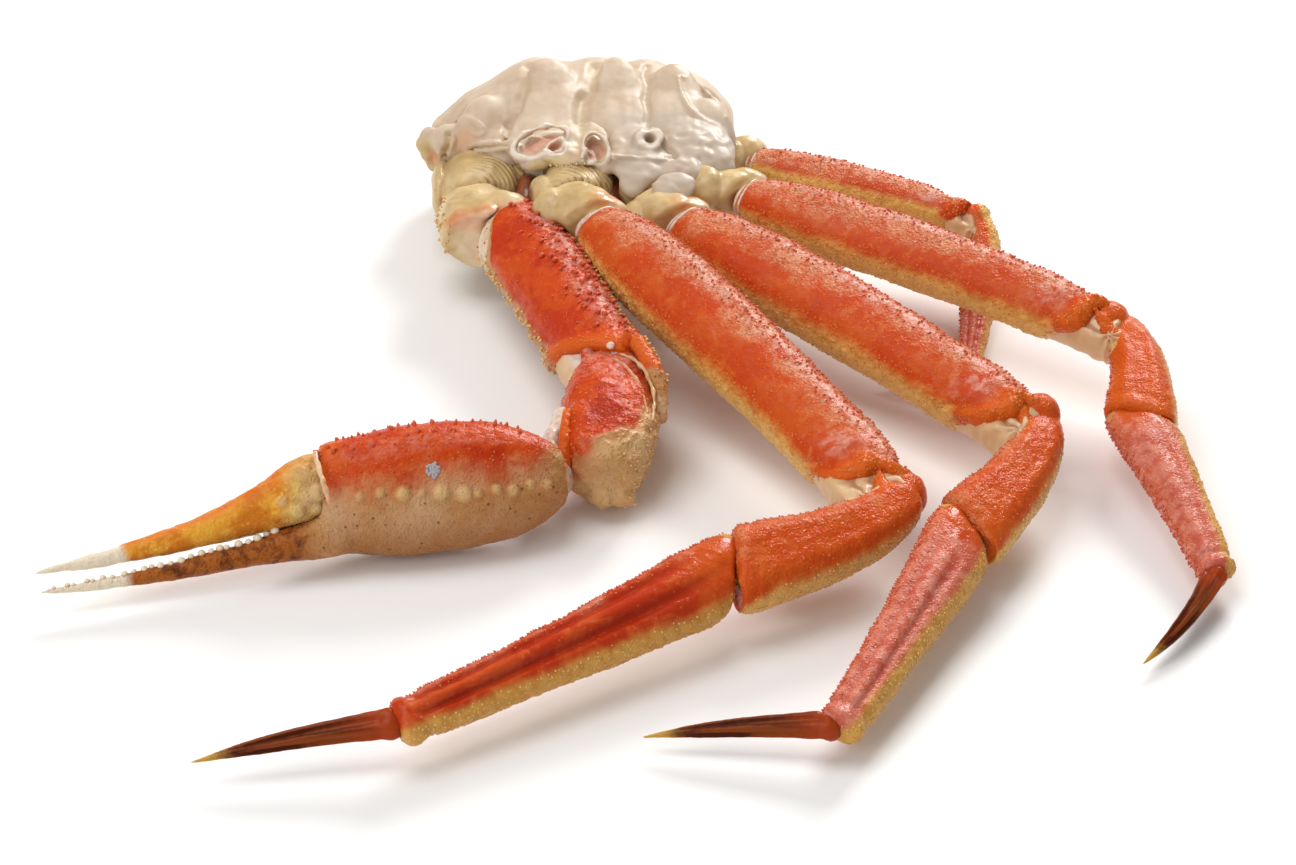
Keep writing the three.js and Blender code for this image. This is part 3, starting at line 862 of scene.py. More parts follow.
# How far the lip reaches over the knee, in mm, from the inner side of each leg to the outer one.
LIP_SIDES = (-1.1, -0.9, -0.65, -0.2, 0.1, 0.3, 0.6, 0.9, 1.1)
LIP_REACH = {"leg1": (-2, 4, 8.5, 7.0, 4.7, 4.5, 5.5, 5.5, 5),
             "leg2": (-2, 3, 8.0, 8.0, 5, 3, 3.5, 4, 3.5),
             "leg3": (0, 5, 6.5, 3.8, 2, 1.5, 1.0, 0, -1),
             "leg4": (0, 1, 1.2, 0.3, -0.5, -1.2, -2, -3, -3)}
# How far the outer corner of a lip curls in over the knuckle of the carpus, in mm.
LIP_CURL = {"leg1": 3.0, "leg2": 2.5, "leg3": 3.5, "leg4": 3.0}
LIP_THICK = {"leg1": 1.5, "leg2": 1.4, "leg3": 1.2, "leg4": 0.15}
# How strongly a lip is coloured, and how far the pale side of the merus reaches round it.
LIP_COLOUR = {"leg1": 1, "leg2": 1, "leg3": 1, "leg4": 0.1}
MERUS_PALE = {"leg1": -0.44, "leg2": -0.44, "leg3": -0.44, "leg4": -0.10}
# The tab of the carpus: its tip and its foot, in mm outwards and over the knee, and how
# high each is, in half heights of the merus.
TABS = {"leg1": ((1.0, 6.5, 0.75), (-2.8, 12.5, 0.65)),
        "leg2": ((2.6, 4.0, 0.65), (-2.6, 11.0, 0.30)),
        "leg3": ((0.4, 2.8, 0.60), (-3.6, 9.6, 0.10)),
        "claw": ((-1.0, 1.0, 0.70), (-3.5, 7.0, 0.80))}
# The knuckle under the lip: its place in the same way, and its radius in mm.
KNUCKLES = {"leg1": (2.2, 11.5, 5.6), "leg2": (4.2, 7.5, 5.2), "leg3": (2.0, 5.5, 4.6),
            "leg4": (0.2, 2.2, 3.5)}
# The way out of the side that shows: forwards and up.
FRONT = unit(np.array((0, -0.84, 0.54)))
TAB_LIFT = 1.6 * MM     # how far a tab is moved out that way


def make_merus(limb, seed):
    node = f"{limb}_merus"
    lie = lies[node]
    piece = rounded(node, f"{limb}_merus_shell")
    places = Places(piece, lie)
    shells[node] = piece, places
    depth = places.to_cap
    upper = step(places.rise, -0.5, 0.1)
    outward = places.local[:, 1]
    end = outward[(depth > 2) & (depth < 10)]
    across = 2 * (outward - end.min()) / np.ptp(end) - 1
    reach = np.interp(across, LIP_SIDES, LIP_REACH[limb]) * step(places.rise, -0.2, 0.6)
    push(piece, reach * step(depth, 20, 1), lie.along)
    curl = LIP_CURL[limb] * step(across, 0.1, 1.0) * step(depth, 14, 0)
    push(piece, curl, -lie.outer - 0.35 * lie.up)
    finish_with(piece, "SMOOTH", factor=0.5, iterations=5)
    lip = hump(depth, 1.2, 2.6) * upper * step(across, -1.0, -0.75)
    grainy = 0.5 * lip * (0.3 + lumps(places.local, 1.1))
    push(piece, LIP_THICK[limb] * (lip - 0.35 * hump(depth, 4.6, 2.0) * upper) + grainy)
    belly = belly_of(places, -1, MERUS_PALE[limb]) - 0.6 * lip
    belly += 1.3 * step(depth, 14, 4) * step(places.rise, 0.15, -0.4) * step(across, 0.4, -0.2)
    push(piece, 0.35 * lumps(places.local, 9, 7, 7) + 0.12 * lumps(places.local, 2, 1.6, 1.6)
         + 0.3 * step(belly, -0.1, 0.15) * (0.4 + lumps(places.local, 1.4)))
    # More frost on the further legs and near the hip: partly the shell's own frost, partly a painted
    # highlight of light falling at a grazing angle.
    frost_and_painted_sheen = 0.14 * LEGS.index(limb) + 0.25 * step(places.along, 0.75, 0.25) - 0.1
    # A painted highlight of the window light along the crest and on the raised plateau behind the lip.
    bloom = hump(places.side, 0.62, 0.36) * upper * step(depth, 2, 8)
    bloom = np.maximum(bloom, hump(depth, 7.5, 4.5) * hump(across, 0.0, 0.9) * upper)
    carry(piece, belly=belly, crest=(places.side + frost_and_painted_sheen) * upper, bloom=0.8 * bloom,
          lip=lip * LIP_COLOUR[limb])
    edge = step(places.side, 0.25, 0.85) * step(places.rise, -0.55, -0.1)
    ends = step(places.along, 0.02, 0.1) * step(depth, 0.5, 2.5)
    sow("spines", limb, piece, 0.10 * edge * ends, 1.7, 0.44, lie.along * 0.9, seed)
    sow("grains", limb, piece, 0.2 * lip, 1.0, 0.30, 0, seed + 50)
    rim = step(belly, -0.25, -0.05) * step(belly, 0.4, 0.1) * step(places.rise, -0.6, -0.2)
    sow("grains", limb, piece, 0.12 * rim, 1.2, 0.27, 0, seed + 10)
    sow("grains", limb, piece, 0.007 * upper, 1.8, 0.19, 0, seed + 30)
    sow("pale_grains", limb, piece, 0.1 * step(belly, 0.1, 0.4), 1.2, 0.26, 0, seed + 40)
    return done(piece, ORANGE_SHELL, node)


# %% Carpus
def over_knee(limb, out, over, rise=0.75):
    """A place some mm out from the middle of the end of a merus and over the knee."""
    merus = lies[f"{limb}_merus"]
    return (merus.cap_middle + merus.up * rise * merus.half_height
            + merus.outer * out * MM + merus.along * over * MM)


def tab_ends(limb):
    """The tip and the foot of the tab of a carpus, just in front of the skin."""
    return [over_knee(limb, *place) + FRONT * TAB_LIFT for place in TABS[limb]]


def knee_tab(limb, width=3.3):
    """The pointed tab that a carpus hooks under the lip of the merus."""
    merus, carpus = lies[f"{limb}_merus"], lies[f"{limb}_carpus"]
    tip, foot = tab_ends(limb)
    length = np.linalg.norm(tip - foot)
    bpy.ops.mesh.primitive_uv_sphere_add(segments=24, ring_count=16, radius=1)
    piece = bpy.context.object
    corners = points_of(piece)
    corners[:, :2] *= 1 - 0.42 * (corners[:, 2:] + 1)
    piece.data.vertices.foreach_set("co", corners.ravel())
    piece.scale = (width * MM, 0.5 * width * MM, 0.72 * length)
    settle(piece)
    way = Vector(tip - foot).normalized()
    across = Vector(carpus.up + merus.up).cross(way).normalized()
    turn = Matrix((across, way.cross(across), way)).transposed()
    piece.matrix_world = Matrix.Translation((tip + foot) / 2) @ turn.to_4x4()
    return settle(piece)


# How clear of frost each carpus is, and how strong its orange flush.
CARPUS_COLOUR = {"leg1": (0.2, 0.2), "leg2": (0.2, 0.2), "leg3": (1.1, 0.35), "leg4": (0.2, 0.2)}


def make_carpus(limb, seed):
    node = f"{limb}_carpus"
    lie = lies[node]
    out, over, radius = KNUCKLES[limb]
    additions = [blob(over_knee(limb, out, over, 0), (radius, radius, radius))]
    if limb in TABS:
        additions.append(knee_tab(limb))
    piece = rounded(node, f"{limb}_carpus_shell", additions=additions)
    places = Places(piece, lie)
    shells[node] = piece, places
    upper = step(places.rise, -0.5, 0.1)
    ridges = hump(places.angle, 1.05, 0.3) + hump(places.angle, 2.0, 0.3)
    push(piece, 0.4 * ridges * step(places.along, 0.1, 0.3) * step(places.along, 0.98, 0.7))
    end = places.to_cap
    rim = step(end, 2.5, 1.0) * step(np.hypot(places.side, places.rise), 0.7, 0.9)
    push(piece, 0.9 * rim, lie.cap_facing)
    push(piece, -0.2 * hump(end, 3.2, 1.6) * upper)
    belly = belly_of(places, 1, -0.48) + 2.6 * near(points_of(piece), lie.at(1.0, -0.8, 0.5), 3.0)
    push(piece, 0.3 * lumps(places.local, 6, 5, 5) + 0.15 * lumps(places.local, 1.6))
    if limb in TABS:
        tip, foot = tab_ends(limb)
        tab = near_path(points_of(piece), [tip, foot], 4.0)
        belly += 2.0 * near(points_of(piece), foot - (2.2 * lies[f"{limb}_merus"].outer) * MM, 3.6)
    else:
        tab = 0
        belly += 0.75
    clear, flush = CARPUS_COLOUR[limb]
    carry(piece, belly=belly, crest=-places.side * upper * 0.8 - clear - 1.5 * tab,
          lip=np.maximum(0.3 * rim + flush, tab))
    top = step(places.rise, -0.2, 0.3) * step(places.along, 0.98, 0.9) * step(places.along, 0, 0.1)
    sow("grains", limb, piece, 0.012 * top, 1.5, 0.22, lie.along * 0.5, seed)
    sow("spines", limb, piece, 0.2 * step(-places.side, 0.75, 0.95) * top, 1.5, 0.32,
        lie.along * 0.6, seed + 10)
    sow("pale_grains", limb, piece, 0.2 * step(belly, 0.0, 0.3), 1.1, 0.26, 0, seed + 20)
    return done(piece, ORANGE_SHELL, node)


# %% Propodus
RIDGES = ((-0.18, 0.9, 0.34), (0.48, 0.2, 0.2))
VALLEYS = ((-0.56, 0.8, 0.22), (0.18, 0.8, 0.22))
FLUTED = {"leg1": 1.0, "leg2": 0.5, "leg3": 0.25, "leg4": 0.5}
FROSTED = {"leg1": 0.0, "leg2": 1.15, "leg3": 1.35, "leg4": 1.0}
PROPODUS_PALE = {"leg1": -0.36, "leg2": -0.22, "leg3": -0.36, "leg4": -0.36}


def make_propodus(limb, seed):
    node = f"{limb}_propodus"
    lie = lies[node]
    ball = 0.75 * lie.half_height / MM
    piece = rounded(node, f"{limb}_propodus_shell",
                    additions=[blob(lie.at(0.0, 0.2, -0.1), (ball, 1.2 * ball, ball))])
    places = Places(piece, lie)
    ends = step(places.along, 0.04, 0.3) * step(places.along, 0.99, 0.88)
    face = step(np.abs(places.rise), 0.1, 0.5) * ends * FLUTED[limb]
    wave = sum(high * hump(places.side, at, wide) for at, high, wide in RIDGES)
    wave -= sum(deep * hump(places.side, at, wide) for at, deep, wide in VALLEYS)
    valley = sum(deep * hump(places.side, at, wide * 1.2) for at, deep, wide in VALLEYS) * face
    push(piece, wave * face + 0.5 * step(places.along, 0.12, 0.02)
         + 0.8 * hump(places.along, 0.98, 0.03) - 0.5 * hump(places.along, 0.93, 0.03))
    push(piece, 2.6 * step(places.along, 0.06, 0.0), -lie.along)
    belly = belly_of(places, 1, PROPODUS_PALE[limb]) + 0.36 * places.along
    belly += 2.6 * near(points_of(piece), lie.at(0.0, -0.8, 0.5), 3.0)
    push(piece, 0.3 * lumps(places.local, 9, 4, 4) + 0.10 * lumps(places.local, 1.6)
         + 0.25 * step(belly, 0.0, 0.3) * lumps(places.local, 1.5))
    frost = step(-places.side, 0.35, 0.9) * step(places.rise, -0.3, 0.1) * (0.6 + 0.4 * FROSTED[limb])
    frost += FROSTED[limb] * step(places.along, 0.0, 0.25) * step(places.rise, -0.5, 0.1)
    shade = np.maximum(0.8 * valley * step(belly, 0.1, -0.1), step(places.along, 0.01, -0.01))
    # The pale patches asked for on the middle of the face are a painted highlight.
    carry(piece, belly=belly, crest=frost - 0.4, shade=shade,
          lip=0.6 * step(places.along, 0.24, 0.02),
          bloom=0.5 * FROSTED[limb] * hump(places.side, -0.1, 0.4) * face)
    edge = step(-places.side, 0.86, 0.97) * step(places.rise, -0.6, -0.1)
    sow("spines", limb, piece, 0.8 * edge, 1.1, 0.34, lie.along * 0.4, seed)
    sow("pale_grains", limb, piece, 0.10 * step(belly, 0.0, 0.3), 1.2, 0.24, 0, seed + 10)
    strip = step(-places.side, 0.6, 0.75) * step(places.rise, 0, 0.2)
    sow("grains", limb, piece, 0.10 * strip, 0.9, 0.22, 0, seed + 20)
    return done(piece, PINK_SHELL, node)


# %% Dactyl
def make_dactyl(limb):
    node = f"{limb}_dactyl"
    piece = rounded(node, f"{limb}_dactyl_spike", 0.28 * MM, 3)
    places = Places(piece, lies[node])
    flutes = np.cos(6 * places.angle) * step(places.along, 1.0, 0.6)
    push(piece, 0.28 * flutes * step(places.along, 0.02, 0.12) + 0.6 * hump(places.along, 0.05, 0.06))
    push(piece, 0.10 * lumps(places.local, 3, 1, 1))
    turns = np.stack((np.cos(places.angle), np.sin(places.angle), places.along), axis=1)
    carry(piece, along=places.along, streak=0.5 + 0.8 * lumps(turns, 0.5, 0.5, 0.45))
    return done(piece, DARK_TIP, node)


# %% [markdown]
# ## Knees
#
# The pale skin of a knee is stretched over the inside of the bend, where the shells leave
# room for it, with folds that fan out from the pointed tab of the carpus.

# %% Knee skin
def make_knee(limb):
    """Skin stretched between the end of the merus and the inside of the carpus."""
    merus, carpus = lies[f"{limb}_merus"], lies[f"{limb}_carpus"]
    piece, places = shells[f"{limb}_merus"]
    picked = (places.to_cap > 1.5) & (places.to_cap < 5) & (places.rise < 0.75)
    start = points_of(piece)[picked]
    core = merus.middle + ((start - merus.middle) @ merus.along)[:, None] * merus.along
    start = core + (start - core) * 0.87
    piece, places = shells[f"{limb}_carpus"]
    picked = (places.along < 0.08) & (places.side < 0.2)
    picked |= (places.along < 0.32) & (places.side < -0.4)
    end = points_of(piece)[picked]
    core = carpus.middle + ((end - carpus.middle) @ carpus.along)[:, None] * carpus.along
    end = core + (end - core) * 0.82
    skin = stretched(f"{limb}_knee_skin", np.concatenate((start[::9], end[::9])), 0.4 * MM, 8)
    axes = np.stack((merus.along, merus.outer, merus.up), axis=1)
    local = (points_of(skin) - merus.cap_middle) @ axes / MM
    outward = local[:, 1] * MM / merus.half_width
    from_tab = (points_of(skin) - carpus.at(0.24, -0.5, 0.8)) @ axes / MM
    turn = np.arctan2(from_tab[:, 1], from_tab[:, 0])
    reach = np.linalg.norm(from_tab, axis=1)
    folds = np.cos(7 * turn + 2.5 * lumps(local, 4)) * step(reach, 14, 3)
    push(skin, 0.35 * folds + 0.3 * lumps(local, 2.0, 5, 5) + 0.1 * lumps(local, 1.2))
    orange = 1.2 * step(outward, 0.5, 0.9) + (0.4 if limb == "leg4" else 0)
    # Painted shade: the troughs of the folds on the skin are darker.
    carry(skin, pale=0.8 if limb == "claw" else 0, orange=orange,
          fold=step(folds, 0.1, -0.8), cream=0.8 * step(outward, -0.35, -0.75))
    return done(skin, JOINT_SKIN, f"{limb}_knee")


# Five places along the rim, in mm outwards and over the knee from the tip of the tab.
CRESCENT = ((-1.6, 3.0), (-0.2, 3.5), (1.2, 4.2), (1.9, 5.6), (1.5, 7.6))


def make_crescent(limb):
    """The pale rim of the skin that shows between the tab and the outer side of the merus."""
    out, over, _ = TABS[limb][0]
    spots = [over_knee(limb, out + x, over + y) for x, y in CRESCENT]
    piece = fused([strand(spots, 0.9)], f"{limb}_knee_rim", FINE_VOXEL, 2)
    push(piece, 0.2 * lumps(points_of(piece) / MM, 1.5))
    return done(piece, JOINT_SKIN)


# Where the pale rings at the root of a merus start and end, in mm.
HIP_RINGS = {"hip_ring": (0.8, 1.7), "hip_ring_2": (2.3, 3.0)}

for number, limb in enumerate(LEGS):
    make_merus(limb, 100 + number)
    make_carpus(limb, 200 + number)
    make_propodus(limb, 300 + number)
    make_dactyl(limb)
    for name, (start, end) in HIP_RINGS.items():
        band(f"{limb}_merus", f"{limb}_{name}", start, end, -0.2, JOINT_RING)
    make_knee(limb)
    if limb == "leg1":
        make_crescent(limb)

# %% [markdown]
# ## Hips
#
# The short segments next to the body are cream, with fine folds around the joints like the
# lines of a shell; their creases and troughs are darkened as painted shade. Deep between them
# the skin is dark red, darkened further as painted shade, and an orange flush runs ahead of
# each long segment. The folds are waves of the distance to the joint, pushed into the surface.

# %% Coxa and ischium
FOLD_SPACING = 1.25


def make_coxa(limb):
    node = f"{limb}_coxa"
    lie = lies[node]
    joint = lies[f"{limb}_ischium"].at(0.1, -0.3, 0.0)
    wide = {"claw": [((0.55, 0.85, 0.05), (6.5, 9, 8)), ((0.60, -0.95, -0.1), (2.5, 9, 6))],
            "leg1": [((0.70, 0.60, -0.05), (4.5, 7, 5.5)), ((0.85, -0.80, 0.0), (4.5, 6.0, 5.0))],
            "leg2": [((0.75, -0.60, 0.00), (4.5, 6, 5.0))]}.get(limb, [])
    swellings = [blob(lie.at(*place), size) for place, size in wide]
    piece = rounded(node, f"{limb}_coxa_shell", 0.36 * MM, additions=swellings)
    places = Places(piece, lie, 12)
    distance = np.linalg.norm(points_of(piece) - joint, axis=1) / MM
    waves = np.sin(2 * math.pi * distance / FOLD_SPACING + 9 * lumps(places.local, 6))
    waves *= 0.55 + 0.6 * lumps(places.local, 3)
    folded = step(places.side, -0.6, 0.1) * step(places.rise, -0.6, 0.2)
    push(piece, 0.8 * lumps(places.local, 6, 5, 5) + 0.22 * waves * folded)
    # Painted shade: the side of the first two leg hips that faces the gap beside them is dark.
    gap_shade = 0.9 * step(places.side, -0.75, -1.0) if limb in ("leg1", "leg2") else 0
    # Painted shade: creases and the troughs of the folds get the dark brown line colour.
    crease = step(hollows(piece, 12), 0.02, 0.14)
    carry(piece, dark=gap_shade, white=0.2, gold=0.3 * step(places.along, 0.3, 0),
          line=np.maximum(0.6 * crease, 0.75 * folded * step(waves, -0.1, -0.6)))
    return done(piece, CREAM_SHELL, node)


def make_ischium(limb):
    node = f"{limb}_ischium"
    lie = lies[node]
    joint = lies[f"{limb}_merus"]
    bridge = ([blob(joint.at(0.01, 0.05, 0.05), (8.0, 6.5, 7.5))] if limb == "claw" else
              [blob(lie.at(0.15, -0.40, -0.1), (5.5, 6.0, 5.0)), blob(lie.at(0.75, 0.0, 0.0), (6, 5, 5))])
    piece = rounded(node, f"{limb}_ischium_shell", additions=bridge)
    places = Places(piece, lie, 12)
    push(piece, 0.6 * lumps(places.local, 5, 4, 4) + 0.15 * lumps(places.local, 1.6))
    start = 0.45 if limb == "claw" else 0.35
    flush = step(places.along, start, start + 0.55) * step(places.rise, -0.1, 0.6)
    flush *= step(places.side, 0.9, 0.2) if limb == "claw" else 1
    golden = 0.1 if limb == "claw" else 0.4
    # Painted shade: the hollows get the dark brown line colour.
    carry(piece, line=0.8 * step(hollows(piece), 0.1, 0.6),
          orange=0.6 * flush, gold=golden * step(places.along, 0.1, 0.7),
          white=0.5 * step(places.along, 0.8, 0.95))
    if limb == "claw":
        left = step(-places.side, 0.8, 0.97) * step(places.rise, -0.9, -0.2)
        sow("pale_spines", limb, piece, 0.25 * left, 2.6, 0.6, lie.along * 0.6, 450)
    return done(piece, CREAM_SHELL, node)


for limb in LIMBS:
    make_coxa(limb)
    make_ischium(limb)
# Dark red skin deep in the gaps between the hips, darkened further as painted shade.
gaps = []
for left, right in (("claw", "leg1"), ("leg1", "leg2"), ("leg2", "leg3")):
    between = (lies[f"{left}_coxa"].middle + lies[f"{right}_coxa"].middle) / 2
    gaps.append(blob(between + np.array((0, -4, -3)) * MM, (4.0, 8, 6.5)))
dark_skin_and_shade = fused(gaps, "hip_skin_and_shade", 0.5 * MM, 4)
push(dark_skin_and_shade, 0.5 * lumps(points_of(dark_skin_and_shade) / MM, 3, 5, 5))
done(dark_skin_and_shade, HIP_SKIN_AND_SHADE)

# %% [markdown]
# ## The shoulder
#
# The shoulder is a row of white meat chambers under a thin wet skin. Where the body was pulled
# away it is torn: there are folded rims around hollow pits, small rings, and flaps that hang
# over the hips. It is made as a sculptor would: broad lumps and flaps are melted into a copy of
# the solid first, rings and strands are laid on that skin, and pits and creases pressed in last.

# %% Broad lumps and flaps
meat_low, meat_high = (np.array(corner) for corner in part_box("shoulder"))


def meat(x, y, z):
    """A place in shares of the shoulder's box: from its claw end, from its front, from below."""
    return meat_low + (meat_high - meat_low) * (x, y, z)


LUMPS = [
    # place, half sizes in mm, the way its thin side faces, spin
    ((0.39, 0.20, 0.79), (10.0, 19, 4.2), (0, -0.50, 0.87), 0),
    ((0.61, 0.20, 0.80), (8.5, 19, 4.0), (0, -0.50, 0.87), 0),
    ((0.80, 0.17, 0.79), (8.5, 18, 4.0), (0, -0.50, 0.87), 0),
    ((0.92, 0.06, 0.75), (6.5, 11, 4.0), (0.1, -0.60, 0.8), 0),
    ((0.20, 0.20, 0.70), (8, 10, 4.5), (0, -0.65, 0.75), 0),
    ((0.68, -0.25, 0.81), (7.5, 11.5, 2.1), (0, -0.2, 0.98), 8),
    ((0.67, -0.46, 0.73), (3.6, 4.5, 1.8), (0, -0.4, 0.9), 0),
    ((0.57, -0.34, 0.81), (4.5, 3.6, 2.0), (-0.2, -0.4, 0.9), 20),
    ((0.88, -0.14, 0.80), (9.5, 11, 2.6), (0.1, -0.25, 0.96), 0),
    ((0.95, -0.24, 0.74), (3.0, 4.5, 3.6), (0.3, -0.3, 0.9), 0),
    ((0.82, -0.38, 0.77), (6.0, 4.5, 1.6), (0, -0.4, 0.9), 0),
    ((0.80, -0.58, 0.79), (6.0, 5.0, 1.6), (0, -0.4, 0.9), 25),
    ((0.48, -0.20, 0.87), (10, 9, 2.0), (-0.25, -0.12, 0.96), 0),
    ((0.37, -0.22, 0.81), (5, 6, 2.2), (-0.3, -0.3, 0.9), 0),
    ((0.36, -0.05, 0.79), (8.0, 8.0, 2.8), (-0.1, -0.45, 0.9), 0),
    ((0.42, 0.10, 0.84), (10.5, 15, 3.0), (0, -0.30, 0.95), 0),
    ((0.62, 0.10, 0.83), (9.0, 15, 3.0), (0, -0.33, 0.94), 0),
    ((0.80, 0.08, 0.82), (9.5, 15, 3.0), (0, -0.36, 0.93), 0),
    ((0.27, 0.03, 0.70), (6.0, 6.0, 3.0), (0, -0.5, 0.87), 0),
    ((0.02, 0.29, 0.50), (2.6, 4.0, 7.5), (-0.3, -0.2, 1), 0),
    ((0.09, 0.24, 0.59), (6.0, 5.0, 5.5), (0, 0, 1), 0),
]
clay = [copy_of("shoulder", "shoulder_meat")]
for limb in LIMBS:
    clay.append(band(f"{limb}_coxa", f"{limb}_collar", 0.5, 5.0, 1.0))
clay += [blob(meat(*place), size, way, spin) for place, size, way, spin in LUMPS]
meat_piece = fused(clay, "shoulder_meat", 0.55 * MM, 16)
print("shoulder body:", len(clay) - 1, "additions")

# %% Rings and strands laid on the skin
RINGS = [
    # place, half sizes in mm, thickness, spin, depth of the pit inside
    ((0.37, 0.04, 0.73), (7.2, 4.0), 0.85, 27, 1.7),
    ((0.42, 0.05, 0.68), (2.6, 2.6), 0.65, 0, 1.8),
    ((0.56, 0.03, 0.68), (3.0, 4.2), 0.75, 10, 2.0),
    ((0.53, -0.25, 0.83), (1.7, 1.7), 0.75, 0, 1.0),
    ((0.73, 0.06, 0.73), (2.5, 2.3), 1.80, 0, 1.4),
]
STRANDS = [
    # five places, thickness in mm
    (((0.13, 0.02, 0.70), (0.16, 0.00, 0.71), (0.20, 0.01, 0.71), (0.24, 0.04, 0.70),
      (0.28, 0.08, 0.68)), 2.0),
    (((0.82, 0.56, 0.91), (0.83, 0.40, 0.89), (0.83, 0.29, 0.86), (0.88, 0.23, 0.80),
      (0.94, 0.26, 0.72)), 0.9),
    (((0.83, 0.56, 0.91), (0.87, 0.56, 0.88), (0.92, 0.53, 0.84), (0.96, 0.44, 0.77),
      (0.98, 0.36, 0.70)), 0.9),
    (((0.24, 0.14, 0.77), (0.28, 0.07, 0.72), (0.31, 0.00, 0.68), (0.36, -0.02, 0.64),
      (0.41, 0.00, 0.61)), 0.8),
    (((0.32, 0.02, 0.73), (0.35, 0.01, 0.70), (0.38, 0.00, 0.68), (0.41, 0.02, 0.66),
      (0.44, 0.04, 0.67)), 0.9),
    (((0.46, 0.02, 0.66), (0.49, 0.01, 0.63), (0.53, 0.00, 0.62), (0.57, 0.00, 0.60),
      (0.61, 0.01, 0.61)), 0.9),
    (((0.09, 0.30, 0.74), (0.11, 0.28, 0.77), (0.14, 0.26, 0.77), (0.17, 0.24, 0.75),
      (0.19, 0.23, 0.71)), 1.3),
    (((0.13, 0.24, 0.70), (0.14, 0.22, 0.67), (0.17, 0.21, 0.67), (0.19, 0.22, 0.69),
      (0.19, 0.24, 0.72)), 0.9),
    (((0.06, 0.28, 0.62), (0.09, 0.24, 0.63), (0.08, 0.18, 0.60), (0.06, 0.14, 0.55),
      (0.03, 0.12, 0.48)), 1.4),
    (((0.34, 0.01, 0.70), (0.36, -0.01, 0.68), (0.38, -0.02, 0.67), (0.40, -0.01, 0.66),
      (0.42, 0.01, 0.67)), 0.7),
    (((0.33, 0.05, 0.76), (0.36, 0.06, 0.76), (0.39, 0.07, 0.75), (0.41, 0.08, 0.74),
      (0.44, 0.07, 0.72)), 0.8),
    (((0.50, 0.02, 0.66), (0.51, 0.05, 0.70), (0.52, 0.08, 0.74), (0.54, 0.08, 0.75),
      (0.55, 0.06, 0.72)), 0.9),
    (((0.62, 0.05, 0.60), (0.66, 0.02, 0.62), (0.70, 0.00, 0.63), (0.74, -0.02, 0.63),
      (0.78, 0.00, 0.62)), 0.8),
]
points, normals = points_of(meat_piece), normals_of(meat_piece)
laid, clay = [], [meat_piece]
for place, size, thick, spin, deep in RINGS:
    spot, way = spot_under(points, normals, meat(*place), FRONT)
    way = unit(way + FRONT)
    laid.append((spot, way, size, spin, deep, 1 - 0.6 * thick / min(size)))
    clay.append(ring(spot, size, thick, way, spin))
for places, thick in STRANDS:
    clay.append(strand([spot_under(points, normals, meat(*place), FRONT)[0] for place in places],
                       thick))
meat_piece = fused(clay, "shoulder_meat", 0.42 * MM, 3)
print("laid on:", len(clay) - 1, "pieces")

# %% Pits, creases and colour masks
GROOVES = [
    # places along a crease, half width and depth in mm, how yellow
    (((0.32, 0.60, 1.0), (0.30, 0.36, 0.95), (0.29, 0.25, 0.89), (0.25, 0.10, 0.77)), 2.6, 1.3, 0.35),
    (((0.54, 0.60, 1.0), (0.52, 0.36, 0.97), (0.51, 0.20, 0.90), (0.49, 0.04, 0.72)), 3.0, 1.5, 0.40),
    (((0.71, 0.60, 1.0), (0.71, 0.36, 0.95), (0.71, 0.24, 0.90), (0.71, 0.12, 0.80)), 1.6, 0.8, 0.2),
    (((0.78, 0.00, 0.72), (0.79, -0.10, 0.76), (0.80, -0.22, 0.80)), 1.2, 0.8, 0.4),
    (((0.06, 0.30, 0.64), (0.055, 0.22, 0.57), (0.04, 0.16, 0.48)), 1.3, 1.3, 0.6),
    (((0.13, 0.10, 0.60), (0.19, 0.09, 0.64), (0.26, 0.12, 0.68)), 1.2, 1.2, 0.4),
]


def laid_path(points, normals, places, count=9):
    """A path over a skin: shares of the box are filled in and each is laid on the skin."""
    shares = np.linspace(0, len(places) - 1, count)
    filled = np.stack([np.interp(shares, range(len(places)), axis) for axis in zip(*places)], axis=1)
    return [spot_under(points, normals, meat(*place), FRONT)[0] for place in filled]


points, normals = points_of(meat_piece), normals_of(meat_piece)
gold, pits, white = (np.zeros(len(points)) for _ in range(3))
for places, width, deep, yellow in GROOVES:
    path = laid_path(points, normals, places)
    gold = np.maximum(gold, yellow * near_path(points, path, 2 * width))
    push(meat_piece, -deep * near_path(points, path, width))
for spot, way, size, spin, deep, hole in laid:
    turn = np.array(Matrix.Rotation(math.radians(spin), 3, Vector(way)) @ facing(way).to_matrix())
    local = (points - spot) @ turn / MM
    reach = np.hypot(local[:, 0] / size[0], local[:, 1] / size[1])
    here = step(np.abs(local[:, 2]), 5, 2.5)
    push(meat_piece, -deep * step(reach, hole, 0.5 * hole) * here, way)
    pits = np.maximum(pits, step(reach, hole, 0.65 * hole) * here)
    white = np.maximum(white, 0.8 * hump(reach, 1.0, 1.2 - hole) * here * step(reach, hole, 1.1 * hole))
push(meat_piece, -1.8 * near(points, meat(0.925, 0.40, 0.80), 6.5))
fibres = lumps(points / MM, 2.0, 16, 16)
torn = np.clip(white + 0.4 * step(points[:, 1], meat_low[1] - 2 * MM, meat_low[1] - 6 * MM)
               + near(points, meat(0.03, 0.28, 0.50), 12)
               + 0.3 * near(points, meat(0.88, -0.14, 0.84), 12), 0, 1)
push(meat_piece, 0.35 * lumps(points / MM, 9) + 0.15 * fibres
     + (0.06 + 0.16 * torn) * lumps(points / MM, 1.7)
     + 0.8 * torn * lumps(points / MM, 2.6))
